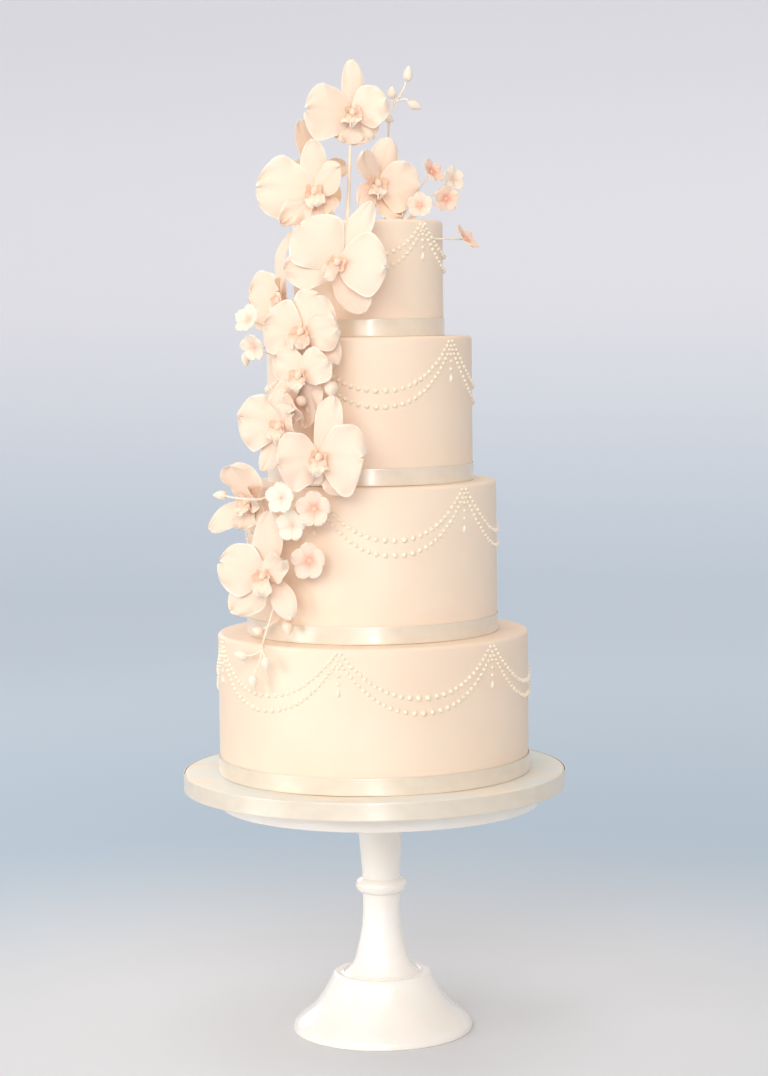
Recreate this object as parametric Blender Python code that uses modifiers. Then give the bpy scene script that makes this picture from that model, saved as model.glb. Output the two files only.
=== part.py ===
"""Four-tier fondant wedding cake with sugar orchids, on an iced board and a pedestal stand.

Lengths are metres, +Z is up, -Y is the front.  The origin is on the table, under the cake's axis.
"""
import math

import bmesh
import bpy
from mathutils import Matrix, Vector

MM = 0.001
GAP = 0.3 * MM                      # clearance kept between pieces that touch
SEGMENTS = 32                       # sides of every round solid
MERGE_DISTANCE = 0.00005
FLATNESS = math.radians(0.3)        # faces that meet at less than this are one flat face

# Stand: milk-white pressed glass, a bell-shaped foot, a thin column and a round plate
STAND_X = 4.7 * MM                  # the cake sits this far off the stand's axis
PLATE_RADIUS = 152.4 * MM
PLATE_UNDERSIDE = 215.8 * MM
PLATE_TOP = 231.6 * MM
COLLAR_HEIGHT = 136.9 * MM
COLLAR_OUTER_RADIUS = 24.0 * MM
COLLAR_TUBE_RADIUS = 7.1 * MM
FOOT_RADIUS = 84.6 * MM
FOOT_RIM_WIDTH = 8.0 * MM
FOOT_RECESS = 3.0 * MM

# Board: a 14 inch drum, iced on top, with a ribbon round its edge
BOARD_RADIUS = 177.8 * MM
BOARD_BOTTOM = PLATE_TOP + GAP
BOARD_TOP = 247.5 * MM
BOARD_EDGE_ROUNDING = 1.5 * MM

# Tiers from the bottom up: radius and top height, each standing on the one below
TIER_RADII = (144.6 * MM, 116.3 * MM, 94.9 * MM, 69.2 * MM)
TIER_TOPS = (378.4 * MM, 518.2 * MM, 651.4 * MM, 756.2 * MM)
TIER_EDGE_ROUNDING = 3.5 * MM
RIBBON_HEIGHT = 15.5 * MM
RIBBON_THICKNESS = 0.6 * MM

# Piped swags: number round each tier, azimuth of one peak, and drops below the tier's top, where each row
# starts at a peak and in its middle, and of the pendant below each peak
SWAG_COUNTS = (6, 5, 4, 4)
SWAG_PEAK_AZIMUTHS = (47.6, 46.0, 50.8, 45.9)
SWAG_UPPER_STARTS = (1.5 * MM, 0.5 * MM, 1.5 * MM, 1.0 * MM)
SWAG_LOWER_STARTS = (10.0 * MM, 8.4 * MM, 9.2 * MM, 6.4 * MM)
SWAG_UPPER_DROPS = (45.0 * MM, 47.0 * MM, 48.0 * MM, 32.5 * MM)
SWAG_LOWER_DROPS = (58.5 * MM, 60.5 * MM, 62.5 * MM, 45.5 * MM)
SWAG_PENDANT_DROPS = (39.5 * MM, 40.0 * MM, 38.5 * MM, 33.0 * MM)
SWAG_CURVE = 2.3                    # two would be a parabola; above two, a swag is fuller at its bottom
UPPER_ROW_DOTS = 4
LOWER_ROW_DOTS = 5
DOT_RADIUS = 2.8 * MM
DOT_REACH = 2.7 * MM
DOT_SINK = 0.5 * MM                 # how far a dot's middle lies inside the wall
PENDANT_RADIUS = 2.6 * MM
PENDANT_HALF_LENGTH = 3.8 * MM

# Sugar flowers
PETAL_THICKNESS = 1.5 * MM
PETAL_OUTLINES = {                  # how far out a petal is widest, and how full its outline is
    "round": (1.2, 0.52),
    "long": (1.12, 0.5),
}
PETAL_START = 2.0                   # millimetres from the flower's heart to where a petal starts
PETAL_END = 0.985                   # where its outline stops, as a share of its length
PETAL_CLAW = 1.8                    # its half width at its start, in millimetres
PETAL_CUP = 0.10                    # how far its sides fall back, as a share of its half width
PETAL_ROW_SPACING = 0.75            # below one, its rows of points lie closer together towards the tip
BLOSSOM_THICKNESS = 1.3 * MM
STEM_RADIUS = 1.7 * MM
STEM_SIDE_LIMIT = 0.85              # how far round the side a stem meets a tier, as a share of its radius
WIRE_RADIUS = 0.8 * MM
HEART_RADIUS = 6.0 * MM
BEAD_RADIUS = 5.0 * MM
TUBE_SIDES = 5
BLOSSOM_LOBES = 5
BLOSSOM_NOTCH = 0.66                # the outline's radius between two lobes, as a share
BLOSSOM_CUP = 0.28                  # rise of the lobes for each unit of radius
BUD_SIDES = 5

# Each petal's faces along and across it
PETAL_FACES = {
    "dorsal": (3, 2),
    "left": (3, 3),
    "right": (3, 3),
    "lower_left": (2, 2),
    "lower_right": (2, 2),
    "lip": (2, 2),
}

# How far each petal starts in front of the flower's heart, in millimetres
LAYER_HEIGHTS = {
    "dorsal": 0.0,
    "left": 2.2,
    "right": 4.4,
    "lower_left": 0.0,
    "lower_right": -2.2,
    "lip": 5.4,
}

# Each orchid: centre (mm), the way it faces (azimuth from the front towards +X, and elevation),
# where its stem ends, and its petals as seen from the front: outline, direction anticlockwise from
# the right, length, half width, lean towards the viewer, bend of the tip and bow of the middle forward
ORCHIDS = (
    {
        "centre": (-13, -22, 853), "facing": (6, 6), "foot": ("top", 4, -18, -34),
        "petals": {
            "dorsal": ("long", 88, 49, 10.5, 6, 3, 0), "left": ("round", 177, 44, 26, 12, -2, 0),
            "right": ("round", 18, 35, 20, 22, 3, 0), "lower_left": ("round", 246, 28, 19, 10, 0, 0),
            "lower_right": ("round", 306, 30, 17, 10, 0, 0), "lip": ("round", 262, 15, 9, 50, -4, 0),
        },
    },
    {
        "centre": (-46, -34, 782), "facing": (-14, 4), "foot": ("top", 4, -30, -26),
        "petals": {
            "dorsal": ("long", 93, 49, 12.5, 13, 2, 0), "left": ("round", 174, 55, 29, 12, -2, 0),
            "right": ("long", 33, 38, 13.5, 24, 2, 0), "lower_left": ("round", 224, 44, 12, 19, 0, 0),
            "lower_right": ("round", 296, 27, 14, 18, 0, 0), "lip": ("round", 280, 17, 9, 48, -4, 0),
        },
    },
    {
        "centre": (8, -26, 789), "facing": (18, 4), "foot": ("top", 4, 6, -12),
        "petals": {
            "dorsal": ("long", 72, 44, 14, 4, 3, 0), "left": ("long", 122, 38, 11, 26, 2, 0),
            "right": ("round", 355, 39.5, 24, 12, -2, 0), "lower_left": ("long", 225, 29, 11, 16, 0, 0),
            "lower_right": ("round", 308, 38, 13, 8, 0, 0), "lip": ("round", 262, 15, 8, 50, -4, 0),
        },
    },
    {
        "centre": (-26, -92, 716), "facing": (-10, 8), "foot": ("side", 4),
        "petals": {
            "dorsal": ("long", 63, 63, 11.5, 4, -2, 0), "left": ("round", 134, 50, 27, 10, -2, 0),
            "right": ("round", 356, 45, 28, 10, -2, 0), "lower_left": ("round", 188, 50, 18, 4, 0, 0),
            "lower_right": ("long", 295, 49, 15.5, 2, 0, 0), "lip": ("long", 230, 20, 8, 40, -4, 0),
        },
    },
    {
        "centre": (-76, -30, 684), "facing": (-56, 4), "foot": ("side", 4),
        "petals": {
            "dorsal": ("long", 96, 65, 9.5, -6, 0, 9), "left": ("round", 174, 38, 27, 30, -2, 0),
            "right": ("round", 24, 26, 16, 34, 4, 0), "lower_left": ("long", 232, 28, 11, 8, 2, 0),
            "lower_right": ("long", 300, 28, 11, 16, 2, 0), "lip": ("round", 270, 14, 7, 45, -4, 0),
        },
    },
    {
        "centre": (-58, -100, 655), "facing": (-22, 8), "foot": ("side", 4),
        "petals": {
            "dorsal": ("round", 60, 40, 25, 14, 2, 0), "left": ("round", 168, 36, 25, 16, 0, 0),
            "right": ("round", 6, 38, 18, 8, 0, 0), "lower_left": ("long", 226, 26, 11, -18, 0, 0),
            "lower_right": ("round", 318, 42, 17, 2, 0, 0), "lip": ("round", 262, 16, 11, 52, -4, 0),
        },
    },
    {
        "centre": (-60, -112, 618), "facing": (-24, 0), "foot": ("side", 3),
        "petals": {
            "dorsal": ("round", 141, 32, 17, 2, 0, 0), "left": ("long", 226, 52, 12, -4, 0, 0),
            "right": ("round", 26, 34, 17, 8, 0, 0), "lower_left": ("round", 265, 47, 16, -12, 0, 0),
            "lower_right": ("round", 286, 36, 12.5, -6, 0, 0), "lip": ("round", 268, 15, 8, 50, -4, 0),
        },
        "bead": (1, -22, 4),
    },
    {
        "centre": (-78, -106, 573), "facing": (-28, 0), "foot": ("side", 3),
        "petals": {
            "dorsal": ("round", 72, 34, 18, 20, 0, 0), "left": ("round", 168, 42, 26, 12, -2, 0),
            "right": ("round", 34, 26, 14, 24, 2, 0), "lower_left": ("long", 240, 45, 10.5, 2, -2, 0),
            "lower_right": ("long", 282, 44, 11, 0, 0, 0), "lip": ("round", 260, 15, 8, 50, -4, 0),
        },
    },
    {
        "centre": (-44, -126, 546), "facing": (-12, 2), "foot": ("side", 3),
        "petals": {
            "dorsal": ("long", 74, 56, 13.5, 6, -2, 0), "left": ("round", 187, 38, 27, 14, 0, 0),
            "right": ("round", 0, 41, 32, 10, -2, 0), "lower_left": ("long", 244, 24, 9, 2, 0, 0),
            "lower_right": ("round", 308, 38, 15, 4, 0, 0), "lip": ("round", 262, 17, 10, 48, -4, 0),
        },
    },
    {
        "centre": (-108, -76, 504), "facing": (-38, 6), "foot": ("side", 2),
        "petals": {
            "dorsal": ("round", 97, 41, 21, 30, 5, 0), "left": ("long", 213, 50, 11, 6, 0, 0),
            "right": ("round", 18, 20, 12, 30, 2, 0), "lower_left": ("round", 250, 27, 13, 14, 2, 0),
            "lower_right": ("long", 300, 24, 10, 12, 0, 0), "lip": ("round", 262, 15, 8, 50, -2, 0),
        },
    },
    {
        "centre": (-95, -99, 439), "facing": (-24, 2), "foot": ("side", 2),
        "petals": {
            "dorsal": ("long", 86, 60, 14.5, 4, 1, 0), "left": ("round", 164, 45, 25, 12, -2, 0),
            "right": ("round", 34, 32, 14, 18, 2, 0), "lower_left": ("round", 225, 46, 18, 6, 0, 0),
            "lower_right": ("long", 310, 46, 12, 8, 0, 0), "lip": ("round", 282, 19, 9, 42, -4, 0),
        },
    },
    {
        "centre": (-44, 10, 796), "facing": (200, 10), "foot": ("top", 4, -30, 8),
        "petals": {
            "dorsal": ("long", 70, 58, 11, 2, 2, 6), "left": ("long", 150, 32, 11, 12, -2, 0),
            "right": ("round", 10, 32, 16, 12, -2, 0), "lower_left": ("long", 225, 30, 11, 6, 0, 0),
            "lower_right": ("long", 315, 32, 11, 6, 0, 0), "lip": ("round", 270, 15, 8, 48, -4, 0),
        },
    },
)

# Each small five-petal blossom: centre (mm), facing, radius (mm) and where its stem ends
BLOSSOMS = (
    {"centre": (59, -2, 801), "facing": (48, 30), "radius": 12.5, "foot": ("top", 4, 30, 4)},
    {"centre": (79, 12, 795), "facing": (34, 14), "radius": 12, "foot": ("top", 4, 36, 18)},
    {"centre": (72, -16, 776), "facing": (14, -4), "radius": 12, "foot": ("top", 4, 38, -8)},
    {"centre": (48, -40, 769), "facing": (-6, 14), "radius": 12, "foot": ("top", 4, 34, -30)},
    {"centre": (89, -6, 739), "facing": (62, 40), "radius": 14, "foot": ("side", 4)},
    {"centre": (-108, -63, 668), "facing": (-40, 24), "radius": 14, "foot": ("top", 3, -78, -44)},
    {"centre": (-103, -70, 644), "facing": (-34, -20), "radius": 13, "foot": ("side", 3)},
    {"centre": (-79, -119, 511), "facing": (-28, 4), "radius": 14.5, "foot": ("side", 2)},
    {"centre": (-70, -114, 486), "facing": (-24, 0), "radius": 14.5, "foot": ("side", 2)},
    {"centre": (-50, -127, 501), "facing": (-16, 4), "radius": 16.5, "foot": ("side", 2)},
    {"centre": (-55, -115, 454), "facing": (-20, 2), "radius": 17, "foot": ("side", 2)},
)

# Each spray: buds as (centre, direction of the tip, length, radius) and wires as chains of points, in mm
SPRAYS = {
    "bud_spray_top": {
        "buds": (
            ((39, 0, 891), (0.1, 0.0, 1.0), 15, 5.0),
            ((24, 0, 874), (0.0, 0.0, 1.0), 12, 4.6),
            ((45, 0, 862), (0.9, 0.0, -0.4), 14, 4.8),
            ((21, 0, 850), (0.7, 0.0, -0.3), 10, 4.0),
        ),
        "wires": (
            ((16, 20, 758.1), (17, 16, 800), (20, 6, 835), (25, 1, 862), (36, 0, 868), (40, 0, 864)),
            ((25, 1, 862), (24, 0, 870)),
            ((25, 1, 862), (34, 1, 876), (38, 0, 887)),
            ((20, 6, 835), (20, 2, 848)),
        ),
    },
    "bud_spray_side": {
        "buds": (
            ((-136, -78, 511), (-1.0, 0.4, 0.0), 14, 4.8),
        ),
        "wires": (
            ((-80, -76, 519.7), (-86, -94, 516), (-98, -106, 509), (-120, -102, 510), (-132, -82, 511)),
        ),
    },
    "bud_spray_foot": {
        "buds": (
            ((-118, -102, 369), (-1.0, 0.0, 0.3), 14, 5.0),
            ((-95, -126, 363), (0.1, -0.1, -1.0), 16, 5.0),
            ((-107, -118, 346), (0.0, 0.0, -1.0), 16, 4.6),
        ),
        "wires": (
            (
                (-86, -94, 419), (-92, -98, 400), (-98.4, -101.5, 379.7),
                (-98, -117, 375), (-102, -120, 363), (-107, -118, 352),
            ),
            ((-98, -117, 375), (-108, -110, 370), (-114, -104, 369)),
            ((-98, -117, 375), (-96, -124, 369)),
        ),
    },
    "bud_waist": {
        "buds": (
            ((-112, -46, 632), (0.0, 0.0, -1.0), 14, 4.8),
        ),
        "wires": (
            ((-88, -38.5, 636), (-102, -43, 640), (-112, -46, 637)),
        ),
    },
    "bud_round": {
        "buds": (
            ((-34, -118, 606), (0.1, -0.2, -1.0), 16, 7.2),
        ),
        "wires": (
            ((-31, -91.2, 611), (-34, -113, 609)),
        ),
    },
    "bud_left_base": {
        "buds": (
            ((-104, -80, 388), (-0.9, -0.2, 0.3), 12, 5.0),
        ),
        "wires": (
            ((-84, -84, 399), (-92, -83, 394), (-100, -81, 389)),
        ),
    },
    "bud_front_base": {
        "buds": (
            ((-76, -104, 393), (0.1, -0.3, -1.0), 13, 5.5),
        ),
        "wires": (
            ((-72, -95, 399), (-75, -102, 397)),
        ),
    },
}

COLOURS = {
    "fondant": (0.93, 0.80, 0.69),
    "satin": (0.90, 0.83, 0.71),
    "milk_glass": (0.93, 0.88, 0.82),
    "sugar_petal": (0.97, 0.87, 0.76),
    "blush_petal": (0.96, 0.79, 0.69),
}
ROUGHNESS = {
    "fondant": 0.6,
    "satin": 0.3,
    "milk_glass": 0.12,
    "sugar_petal": 0.6,
    "blush_petal": 0.6,
}


def clear_scene():
    """Remove the objects that the file opened with."""
    for item in list(bpy.data.objects):
        bpy.data.objects.remove(item, do_unlink=True)


def make_collection(name):
    collection = bpy.data.collections.new(name)
    bpy.context.scene.collection.children.link(collection)
    return collection


def make_material(name):
    material = bpy.data.materials.new(name)
    material.use_nodes = True
    shader = material.node_tree.nodes["Principled BSDF"]
    shader.inputs["Base Color"].default_value = (*COLOURS[name], 1.0)
    shader.inputs["Roughness"].default_value = ROUGHNESS[name]
    shader.inputs["Metallic"].default_value = 0.0
    return material


def add_object(name, mesh, collection, material=None):
    item = bpy.data.objects.new(name, mesh)
    collection.objects.link(item)
    if material:
        mesh.materials.append(material)
    return item


def finished_mesh(item):
    """The mesh of an object with its modifiers applied."""
    bpy.context.view_layer.update()
    depsgraph = bpy.context.evaluated_depsgraph_get()
    return bpy.data.meshes.new_from_object(item.evaluated_get(depsgraph))


def smooth(item, angle=50):
    item.data.shade_smooth()
    item.data.set_sharp_from_angle(angle=math.radians(angle))


def turned_mesh(profile, closed=False):
    """Turn (radius, height) points about the Z axis; they run from the top to the bottom outside."""
    mesh = bpy.data.meshes.new("profile")
    edges = [(index, index + 1) for index in range(len(profile) - 1)]
    if closed:
        edges.append((len(profile) - 1, 0))
    mesh.from_pydata([(radius, 0.0, height) for radius, height in profile], edges, [])
    item = add_object("turning", mesh, bpy.context.scene.collection)
    screw = item.modifiers.new("Turn", "SCREW")
    screw.angle = 2 * math.pi
    screw.steps = SEGMENTS
    screw.render_steps = SEGMENTS
    screw.use_merge_vertices = True
    screw.merge_threshold = MERGE_DISTANCE
    result = finished_mesh(item)
    bpy.data.objects.remove(item, do_unlink=True)
    return result


def union(name, pieces, collection, material):
    """Join overlapping closed pieces into one solid and remove them."""
    guides = bpy.data.collections.new("joined pieces")
    bpy.context.scene.collection.children.link(guides)
    base = pieces[0]
    for piece in pieces[1:]:
        guides.objects.link(piece)
    boolean = base.modifiers.new("Union", "BOOLEAN")
    boolean.operation = "UNION"
    boolean.operand_type = "COLLECTION"
    boolean.solver = "EXACT"
    boolean.collection = guides
    mesh = finished_mesh(base)
    simplify(mesh)
    for piece in pieces:
        bpy.data.objects.remove(piece, do_unlink=True)
    bpy.data.collections.remove(guides)
    mesh.materials.clear()
    return add_object(name, mesh, collection, material)


def simplify(mesh):
    """Merge flat neighbouring faces, split every face into triangles and drop loose scraps."""
    shape = bmesh.new()
    shape.from_mesh(mesh)
    bmesh.ops.dissolve_limit(shape, angle_limit=FLATNESS, verts=shape.verts, edges=shape.edges)
    bmesh.ops.triangulate(shape, faces=shape.faces)
    bodies = separate_bodies(shape)
    for body in sorted(bodies, key=len)[:-1]:
        bmesh.ops.delete(shape, geom=list(body), context="VERTS")
    shape.to_mesh(mesh)
    shape.free()


def separate_bodies(shape):
    """The points of each connected body."""
    left = set(shape.verts)
    bodies = []
    while left:
        found = {left.pop()}
        queue = list(found)
        while queue:
            for edge in queue.pop().link_edges:
                for vertex in edge.verts:
                    if vertex not in found:
                        found.add(vertex)
                        queue.append(vertex)
        left -= found
        bodies.append(found)
    return bodies


def loose_piece(mesh, matrix=None):
    """A piece that a union will take in, moved by the matrix."""
    if matrix:
        mesh.transform(matrix)
    return add_object("piece", mesh, bpy.context.scene.collection)


# Stand

def arc(centre_radius, centre_height, radius, start, end, steps):
    """Points of an arc in the (radius, height) plane, its angles in degrees."""
    points = []
    for step in range(steps + 1):
        angle = math.radians(start + (end - start) * step / steps)
        points.append((centre_radius + radius * math.cos(angle), centre_height + radius * math.sin(angle)))
    return points


def stand_profile():
    """Outline of plate, column and bell foot, from the plate's middle down to the foot's shallow recess."""
    collar_centre = COLLAR_OUTER_RADIUS - COLLAR_TUBE_RADIUS
    outside = [
        (0.0, PLATE_TOP),
        (PLATE_RADIUS, PLATE_TOP),
        (PLATE_RADIUS - 2.0 * MM, PLATE_UNDERSIDE),
        (PLATE_RADIUS - 9.0 * MM, PLATE_UNDERSIDE + 6.0 * MM),
        (30.0 * MM, PLATE_UNDERSIDE + 1.0 * MM),
        (20.0 * MM, 177.7 * MM),
        (17.8 * MM, 149.3 * MM),
    ]
    outside += arc(collar_centre, COLLAR_HEIGHT, COLLAR_TUBE_RADIUS, 60, -60, 3)
    outside += [
        (18.5 * MM, 98.7 * MM),
        (21.7 * MM, 81.5 * MM),
        (26.5 * MM, 64.8 * MM),
        (34.0 * MM, 54.0 * MM),
        (45.5 * MM, 54.0 * MM),
        (64.6 * MM, 22.7 * MM),
        (79.0 * MM, 10.8 * MM),
        (FOOT_RADIUS, 0.0),
    ]
    recess = [
        (FOOT_RADIUS - FOOT_RIM_WIDTH, 0.0),
        (FOOT_RADIUS - FOOT_RIM_WIDTH - FOOT_RECESS, FOOT_RECESS),
        (0.0, FOOT_RECESS),
    ]
    return outside + recess


def build_stand(collection):
    mesh = turned_mesh(stand_profile())
    stand = add_object("stand", mesh, collection, make_material("milk_glass"))
    stand.location.x = STAND_X
    smooth(stand)


# Board, tiers and ribbons

def rounded_disc(radius, bottom, top, rounding):
    """Profile of a disc whose top edge is rounded."""
    near = 0.3 * rounding
    return [
        (0.0, top),
        (radius - rounding, top),
        (radius - near, top - near),
        (radius, top - rounding),
        (radius, bottom),
        (0.0, bottom),
    ]


def ribbon_profile(radius, bottom):
    """Closed profile of a ribbon that lies round a wall."""
    inner = radius + GAP
    outer = inner + RIBBON_THICKNESS
    top = bottom + RIBBON_HEIGHT
    return [(inner, top), (outer, top), (outer, bottom), (inner, bottom)]


def facet_distance(radius, azimuth):
    """Distance of a many-sided wall from its axis at an azimuth, in degrees from the front."""
    half = 180.0 / SEGMENTS
    within = (azimuth % (2 * half)) - half
    return radius * math.cos(math.radians(half)) / math.cos(math.radians(within))


def wall_point(radius, azimuth, height):
    angle = math.radians(azimuth)
    return Vector((radius * math.sin(angle), -radius * math.cos(angle), height))


def dot_piece(tier, azimuth, height, half_width, half_height):
    """A piped dot: eight faces, its back half inside the wall."""
    shape = bmesh.new()
    tips = (
        (half_width, 0, 0), (-half_width, 0, 0),
        (0, DOT_REACH, 0), (0, -DOT_REACH, 0),
        (0, 0, half_height), (0, 0, -half_height),
    )
    for tip in tips:
        shape.verts.new(tip)
    bmesh.ops.convex_hull(shape, input=shape.verts)
    bmesh.ops.recalc_face_normals(shape, faces=shape.faces)
    mesh = bpy.data.meshes.new("dot")
    shape.to_mesh(mesh)
    shape.free()
    place = wall_point(facet_distance(TIER_RADII[tier], azimuth) - DOT_SINK, azimuth, height)
    return loose_piece(mesh, Matrix.Translation(place) @ Matrix.Rotation(math.radians(azimuth), 4, "Z"))


def swag_dots(tier):
    """The larger piped dots of one tier: two rows in each swag and a drop below each peak."""
    pieces = []
    top = TIER_TOPS[tier]
    span = 360.0 / SWAG_COUNTS[tier]
    rows = (
        (SWAG_UPPER_STARTS[tier], SWAG_UPPER_DROPS[tier], UPPER_ROW_DOTS),
        (SWAG_LOWER_STARTS[tier], SWAG_LOWER_DROPS[tier], LOWER_ROW_DOTS),
    )
    for swag in range(SWAG_COUNTS[tier]):
        peak = SWAG_PEAK_AZIMUTHS[tier] + span * swag
        pendant_height = top - SWAG_PENDANT_DROPS[tier]
        pieces.append(dot_piece(tier, peak, pendant_height, PENDANT_RADIUS, PENDANT_HALF_LENGTH))
        for start, depth, count in rows:
            for index in range(count):
                along = (index + 1) / (count + 1)
                across = abs(2 * along - 1)
                drop = start + (depth - start) * (1 - across ** SWAG_CURVE)
                pieces.append(dot_piece(tier, peak + span * along, top - drop, DOT_RADIUS, DOT_RADIUS))
    return pieces


def build_tiers(collection):
    fondant = make_material("fondant")
    satin = make_material("satin")
    bottom = BOARD_TOP + GAP
    for tier, radius in enumerate(TIER_RADII):
        wall = loose_piece(turned_mesh(rounded_disc(radius, bottom, TIER_TOPS[tier], TIER_EDGE_ROUNDING)))
        smooth(union(f"tier_{tier + 1}", [wall] + swag_dots(tier), collection, fondant))
        ribbon = turned_mesh(ribbon_profile(radius, bottom), closed=True)
        smooth(add_object(f"ribbon_{tier + 1}", ribbon, collection, satin))
        bottom = TIER_TOPS[tier] + GAP
    board = turned_mesh(rounded_disc(BOARD_RADIUS, BOARD_BOTTOM, BOARD_TOP, BOARD_EDGE_ROUNDING))
    smooth(add_object("board", board, collection, fondant))
    edge_ribbon = turned_mesh(ribbon_profile(BOARD_RADIUS, BOARD_BOTTOM), closed=True)
    smooth(add_object("board_ribbon", edge_ribbon, collection, satin))


# Flowers

def petal_grid(name, outline, length, half_width, bend, bow):
    """Rows of points of a petal that lies along +X and faces +Z, in millimetres."""
    lengthwise, crosswise = PETAL_FACES[name]
    fullness, roundness = PETAL_OUTLINES[outline]
    rows = []
    for row in range(lengthwise + 1):
        along = max(PETAL_START / length, PETAL_END * (row / lengthwise) ** PETAL_ROW_SPACING)
        curve = bend * along ** 2 + bow * math.sin(math.pi * along)
        reach = half_width * math.sin(math.pi * along ** fullness) ** roundness if row else PETAL_CLAW
        line = []
        for column in range(crosswise + 1):
            across = 2 * column / crosswise - 1
            cup = PETAL_CUP * half_width * across ** 2 * along
            line.append(Vector((length * along, reach * across, curve - cup)))
        rows.append(line)
    return rows


def thick_sheet(rows, thickness):
    """A closed thin solid from a grid of points, both faces split into triangles alike."""
    mesh = bpy.data.meshes.new("sheet")
    width = len(rows[0])
    points = [point * MM for line in rows for point in line]
    faces = []
    for row in range(len(rows) - 1):
        for column in range(width - 1):
            corner = row * width + column
            faces.append((corner, corner + width, corner + width + 1))
            faces.append((corner, corner + width + 1, corner + 1))
    mesh.from_pydata(points, [], faces)
    return thickened(mesh, thickness)


def thickened(mesh, thickness):
    item = add_object("sheet", mesh, bpy.context.scene.collection)
    solidify = item.modifiers.new("Thickness", "SOLIDIFY")
    solidify.thickness = thickness
    solidify.offset = 0.0
    result = finished_mesh(item)
    bpy.data.objects.remove(item, do_unlink=True)
    return result


def facing_matrix(centre, facing):
    """Places a flower modelled facing +Z, its top towards +Y."""
    azimuth, elevation = (math.radians(angle) for angle in facing)
    outward = Vector((
        math.sin(azimuth) * math.cos(elevation),
        -math.cos(azimuth) * math.cos(elevation),
        math.sin(elevation),
    ))
    upward = (Vector((0, 0, 1)) - outward * outward.z).normalized()
    sideways = upward.cross(outward)
    matrix = Matrix((sideways, upward, outward)).transposed().to_4x4()
    return Matrix.Translation(Vector(centre) * MM) @ matrix


def petal_matrix(direction, lean):
    """Turns a petal that lies along +X to its direction and leans it towards +Z."""
    return Matrix.Rotation(math.radians(direction), 4, "Z") @ Matrix.Rotation(-math.radians(lean), 4, "Y")


def stem_target(foot, centre):
    """Where a stem meets the cake, behind its flower, and the outward direction of the surface there."""
    if foot[0] == "top":
        return Vector((foot[2] * MM, foot[3] * MM, TIER_TOPS[foot[1] - 1])), Vector((0, 0, 1))
    tier = foot[1] - 1
    sideways = max(-STEM_SIDE_LIMIT, min(STEM_SIDE_LIMIT, centre.x / TIER_RADII[tier]))
    azimuth = math.degrees(math.asin(sideways))
    bottom = TIER_TOPS[tier - 1] if tier else BOARD_TOP
    height = min(centre.z, TIER_TOPS[tier] - 3 * TIER_EDGE_ROUNDING)
    height = max(height, bottom + RIBBON_HEIGHT + 2 * TIER_EDGE_ROUNDING)
    point = wall_point(TIER_RADII[tier], azimuth, height)
    return point, Vector((point.x, point.y, 0)).normalized()


def stem_piece(centre, foot, radius):
    """A straight stem from just inside the flower to just short of the cake."""
    target, outward = stem_target(foot, centre)
    direction = (centre - target).normalized()
    slant = math.sqrt(max(0.0, 1 - direction.dot(outward) ** 2))
    start = target + outward * (GAP + radius * slant)
    length = (centre - start).length
    shape = bmesh.new()
    bmesh.ops.create_cone(
        shape, cap_ends=True, segments=TUBE_SIDES, radius1=radius, radius2=radius, depth=length,
    )
    mesh = bpy.data.meshes.new("stem")
    shape.to_mesh(mesh)
    shape.free()
    turn = (centre - start).to_track_quat("Z", "Y").to_matrix().to_4x4()
    return loose_piece(mesh, Matrix.Translation((start + centre) / 2) @ turn)


def ball_mesh(radius, stretch, sides, rings):
    """A round form whose Z size is stretched."""
    shape = bmesh.new()
    bmesh.ops.create_uvsphere(shape, u_segments=sides, v_segments=rings, radius=radius)
    bmesh.ops.scale(shape, vec=(1, 1, stretch), verts=shape.verts)
    mesh = bpy.data.meshes.new("ball")
    shape.to_mesh(mesh)
    shape.free()
    return mesh


def build_orchid(number, design, collection, material):
    """An orchid: three sepals, two round petals, a lip, a column and a stem, joined."""
    place = facing_matrix(design["centre"], design["facing"])
    heart = ball_mesh(HEART_RADIUS, 1.0, BUD_SIDES, 4)
    pieces = [loose_piece(heart, place @ Matrix.Translation((0, 0, 2.0 * MM)))]
    for name, (outline, direction, length, half_width, lean, bend, bow) in design["petals"].items():
        sheet = thick_sheet(petal_grid(name, outline, length, half_width, bend, bow), PETAL_THICKNESS)
        layer = Matrix.Translation((0, 0, LAYER_HEIGHTS[name] * MM))
        pieces.append(loose_piece(sheet, place @ layer @ petal_matrix(direction, lean)))
    pieces.append(stem_piece(Vector(design["centre"]) * MM, design["foot"], STEM_RADIUS))
    if "bead" in design:
        bead = ball_mesh(BEAD_RADIUS, 1.0, BUD_SIDES, 4)
        pieces.append(loose_piece(bead, place @ Matrix.Translation(Vector(design["bead"]) * MM)))
    smooth(union(f"orchid_{number:02d}", pieces, collection, material), angle=70)


def blossom_mesh(radius):
    """A shallow five-lobed cup, facing +Z."""
    points = [Vector((0, 0, 0))]
    steps = 3 * BLOSSOM_LOBES
    for step in range(steps):
        angle = 2 * math.pi * step / steps + math.pi / 2
        out = radius * (BLOSSOM_NOTCH if step % 3 == 0 else 1.0)
        points.append(Vector((out * math.cos(angle), out * math.sin(angle), BLOSSOM_CUP * out)))
    faces = [(0, 1 + step, 1 + (step + 1) % steps) for step in range(steps)]
    mesh = bpy.data.meshes.new("blossom")
    mesh.from_pydata([point * MM for point in points], [], faces)
    return thickened(mesh, BLOSSOM_THICKNESS)


def build_blossom(number, design, collection, material):
    place = facing_matrix(design["centre"], design["facing"])
    pieces = [loose_piece(blossom_mesh(design["radius"]), place)]
    pieces.append(stem_piece(Vector(design["centre"]) * MM, design["foot"], WIRE_RADIUS))
    smooth(union(f"blossom_{number:02d}", pieces, collection, material), angle=70)


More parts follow.
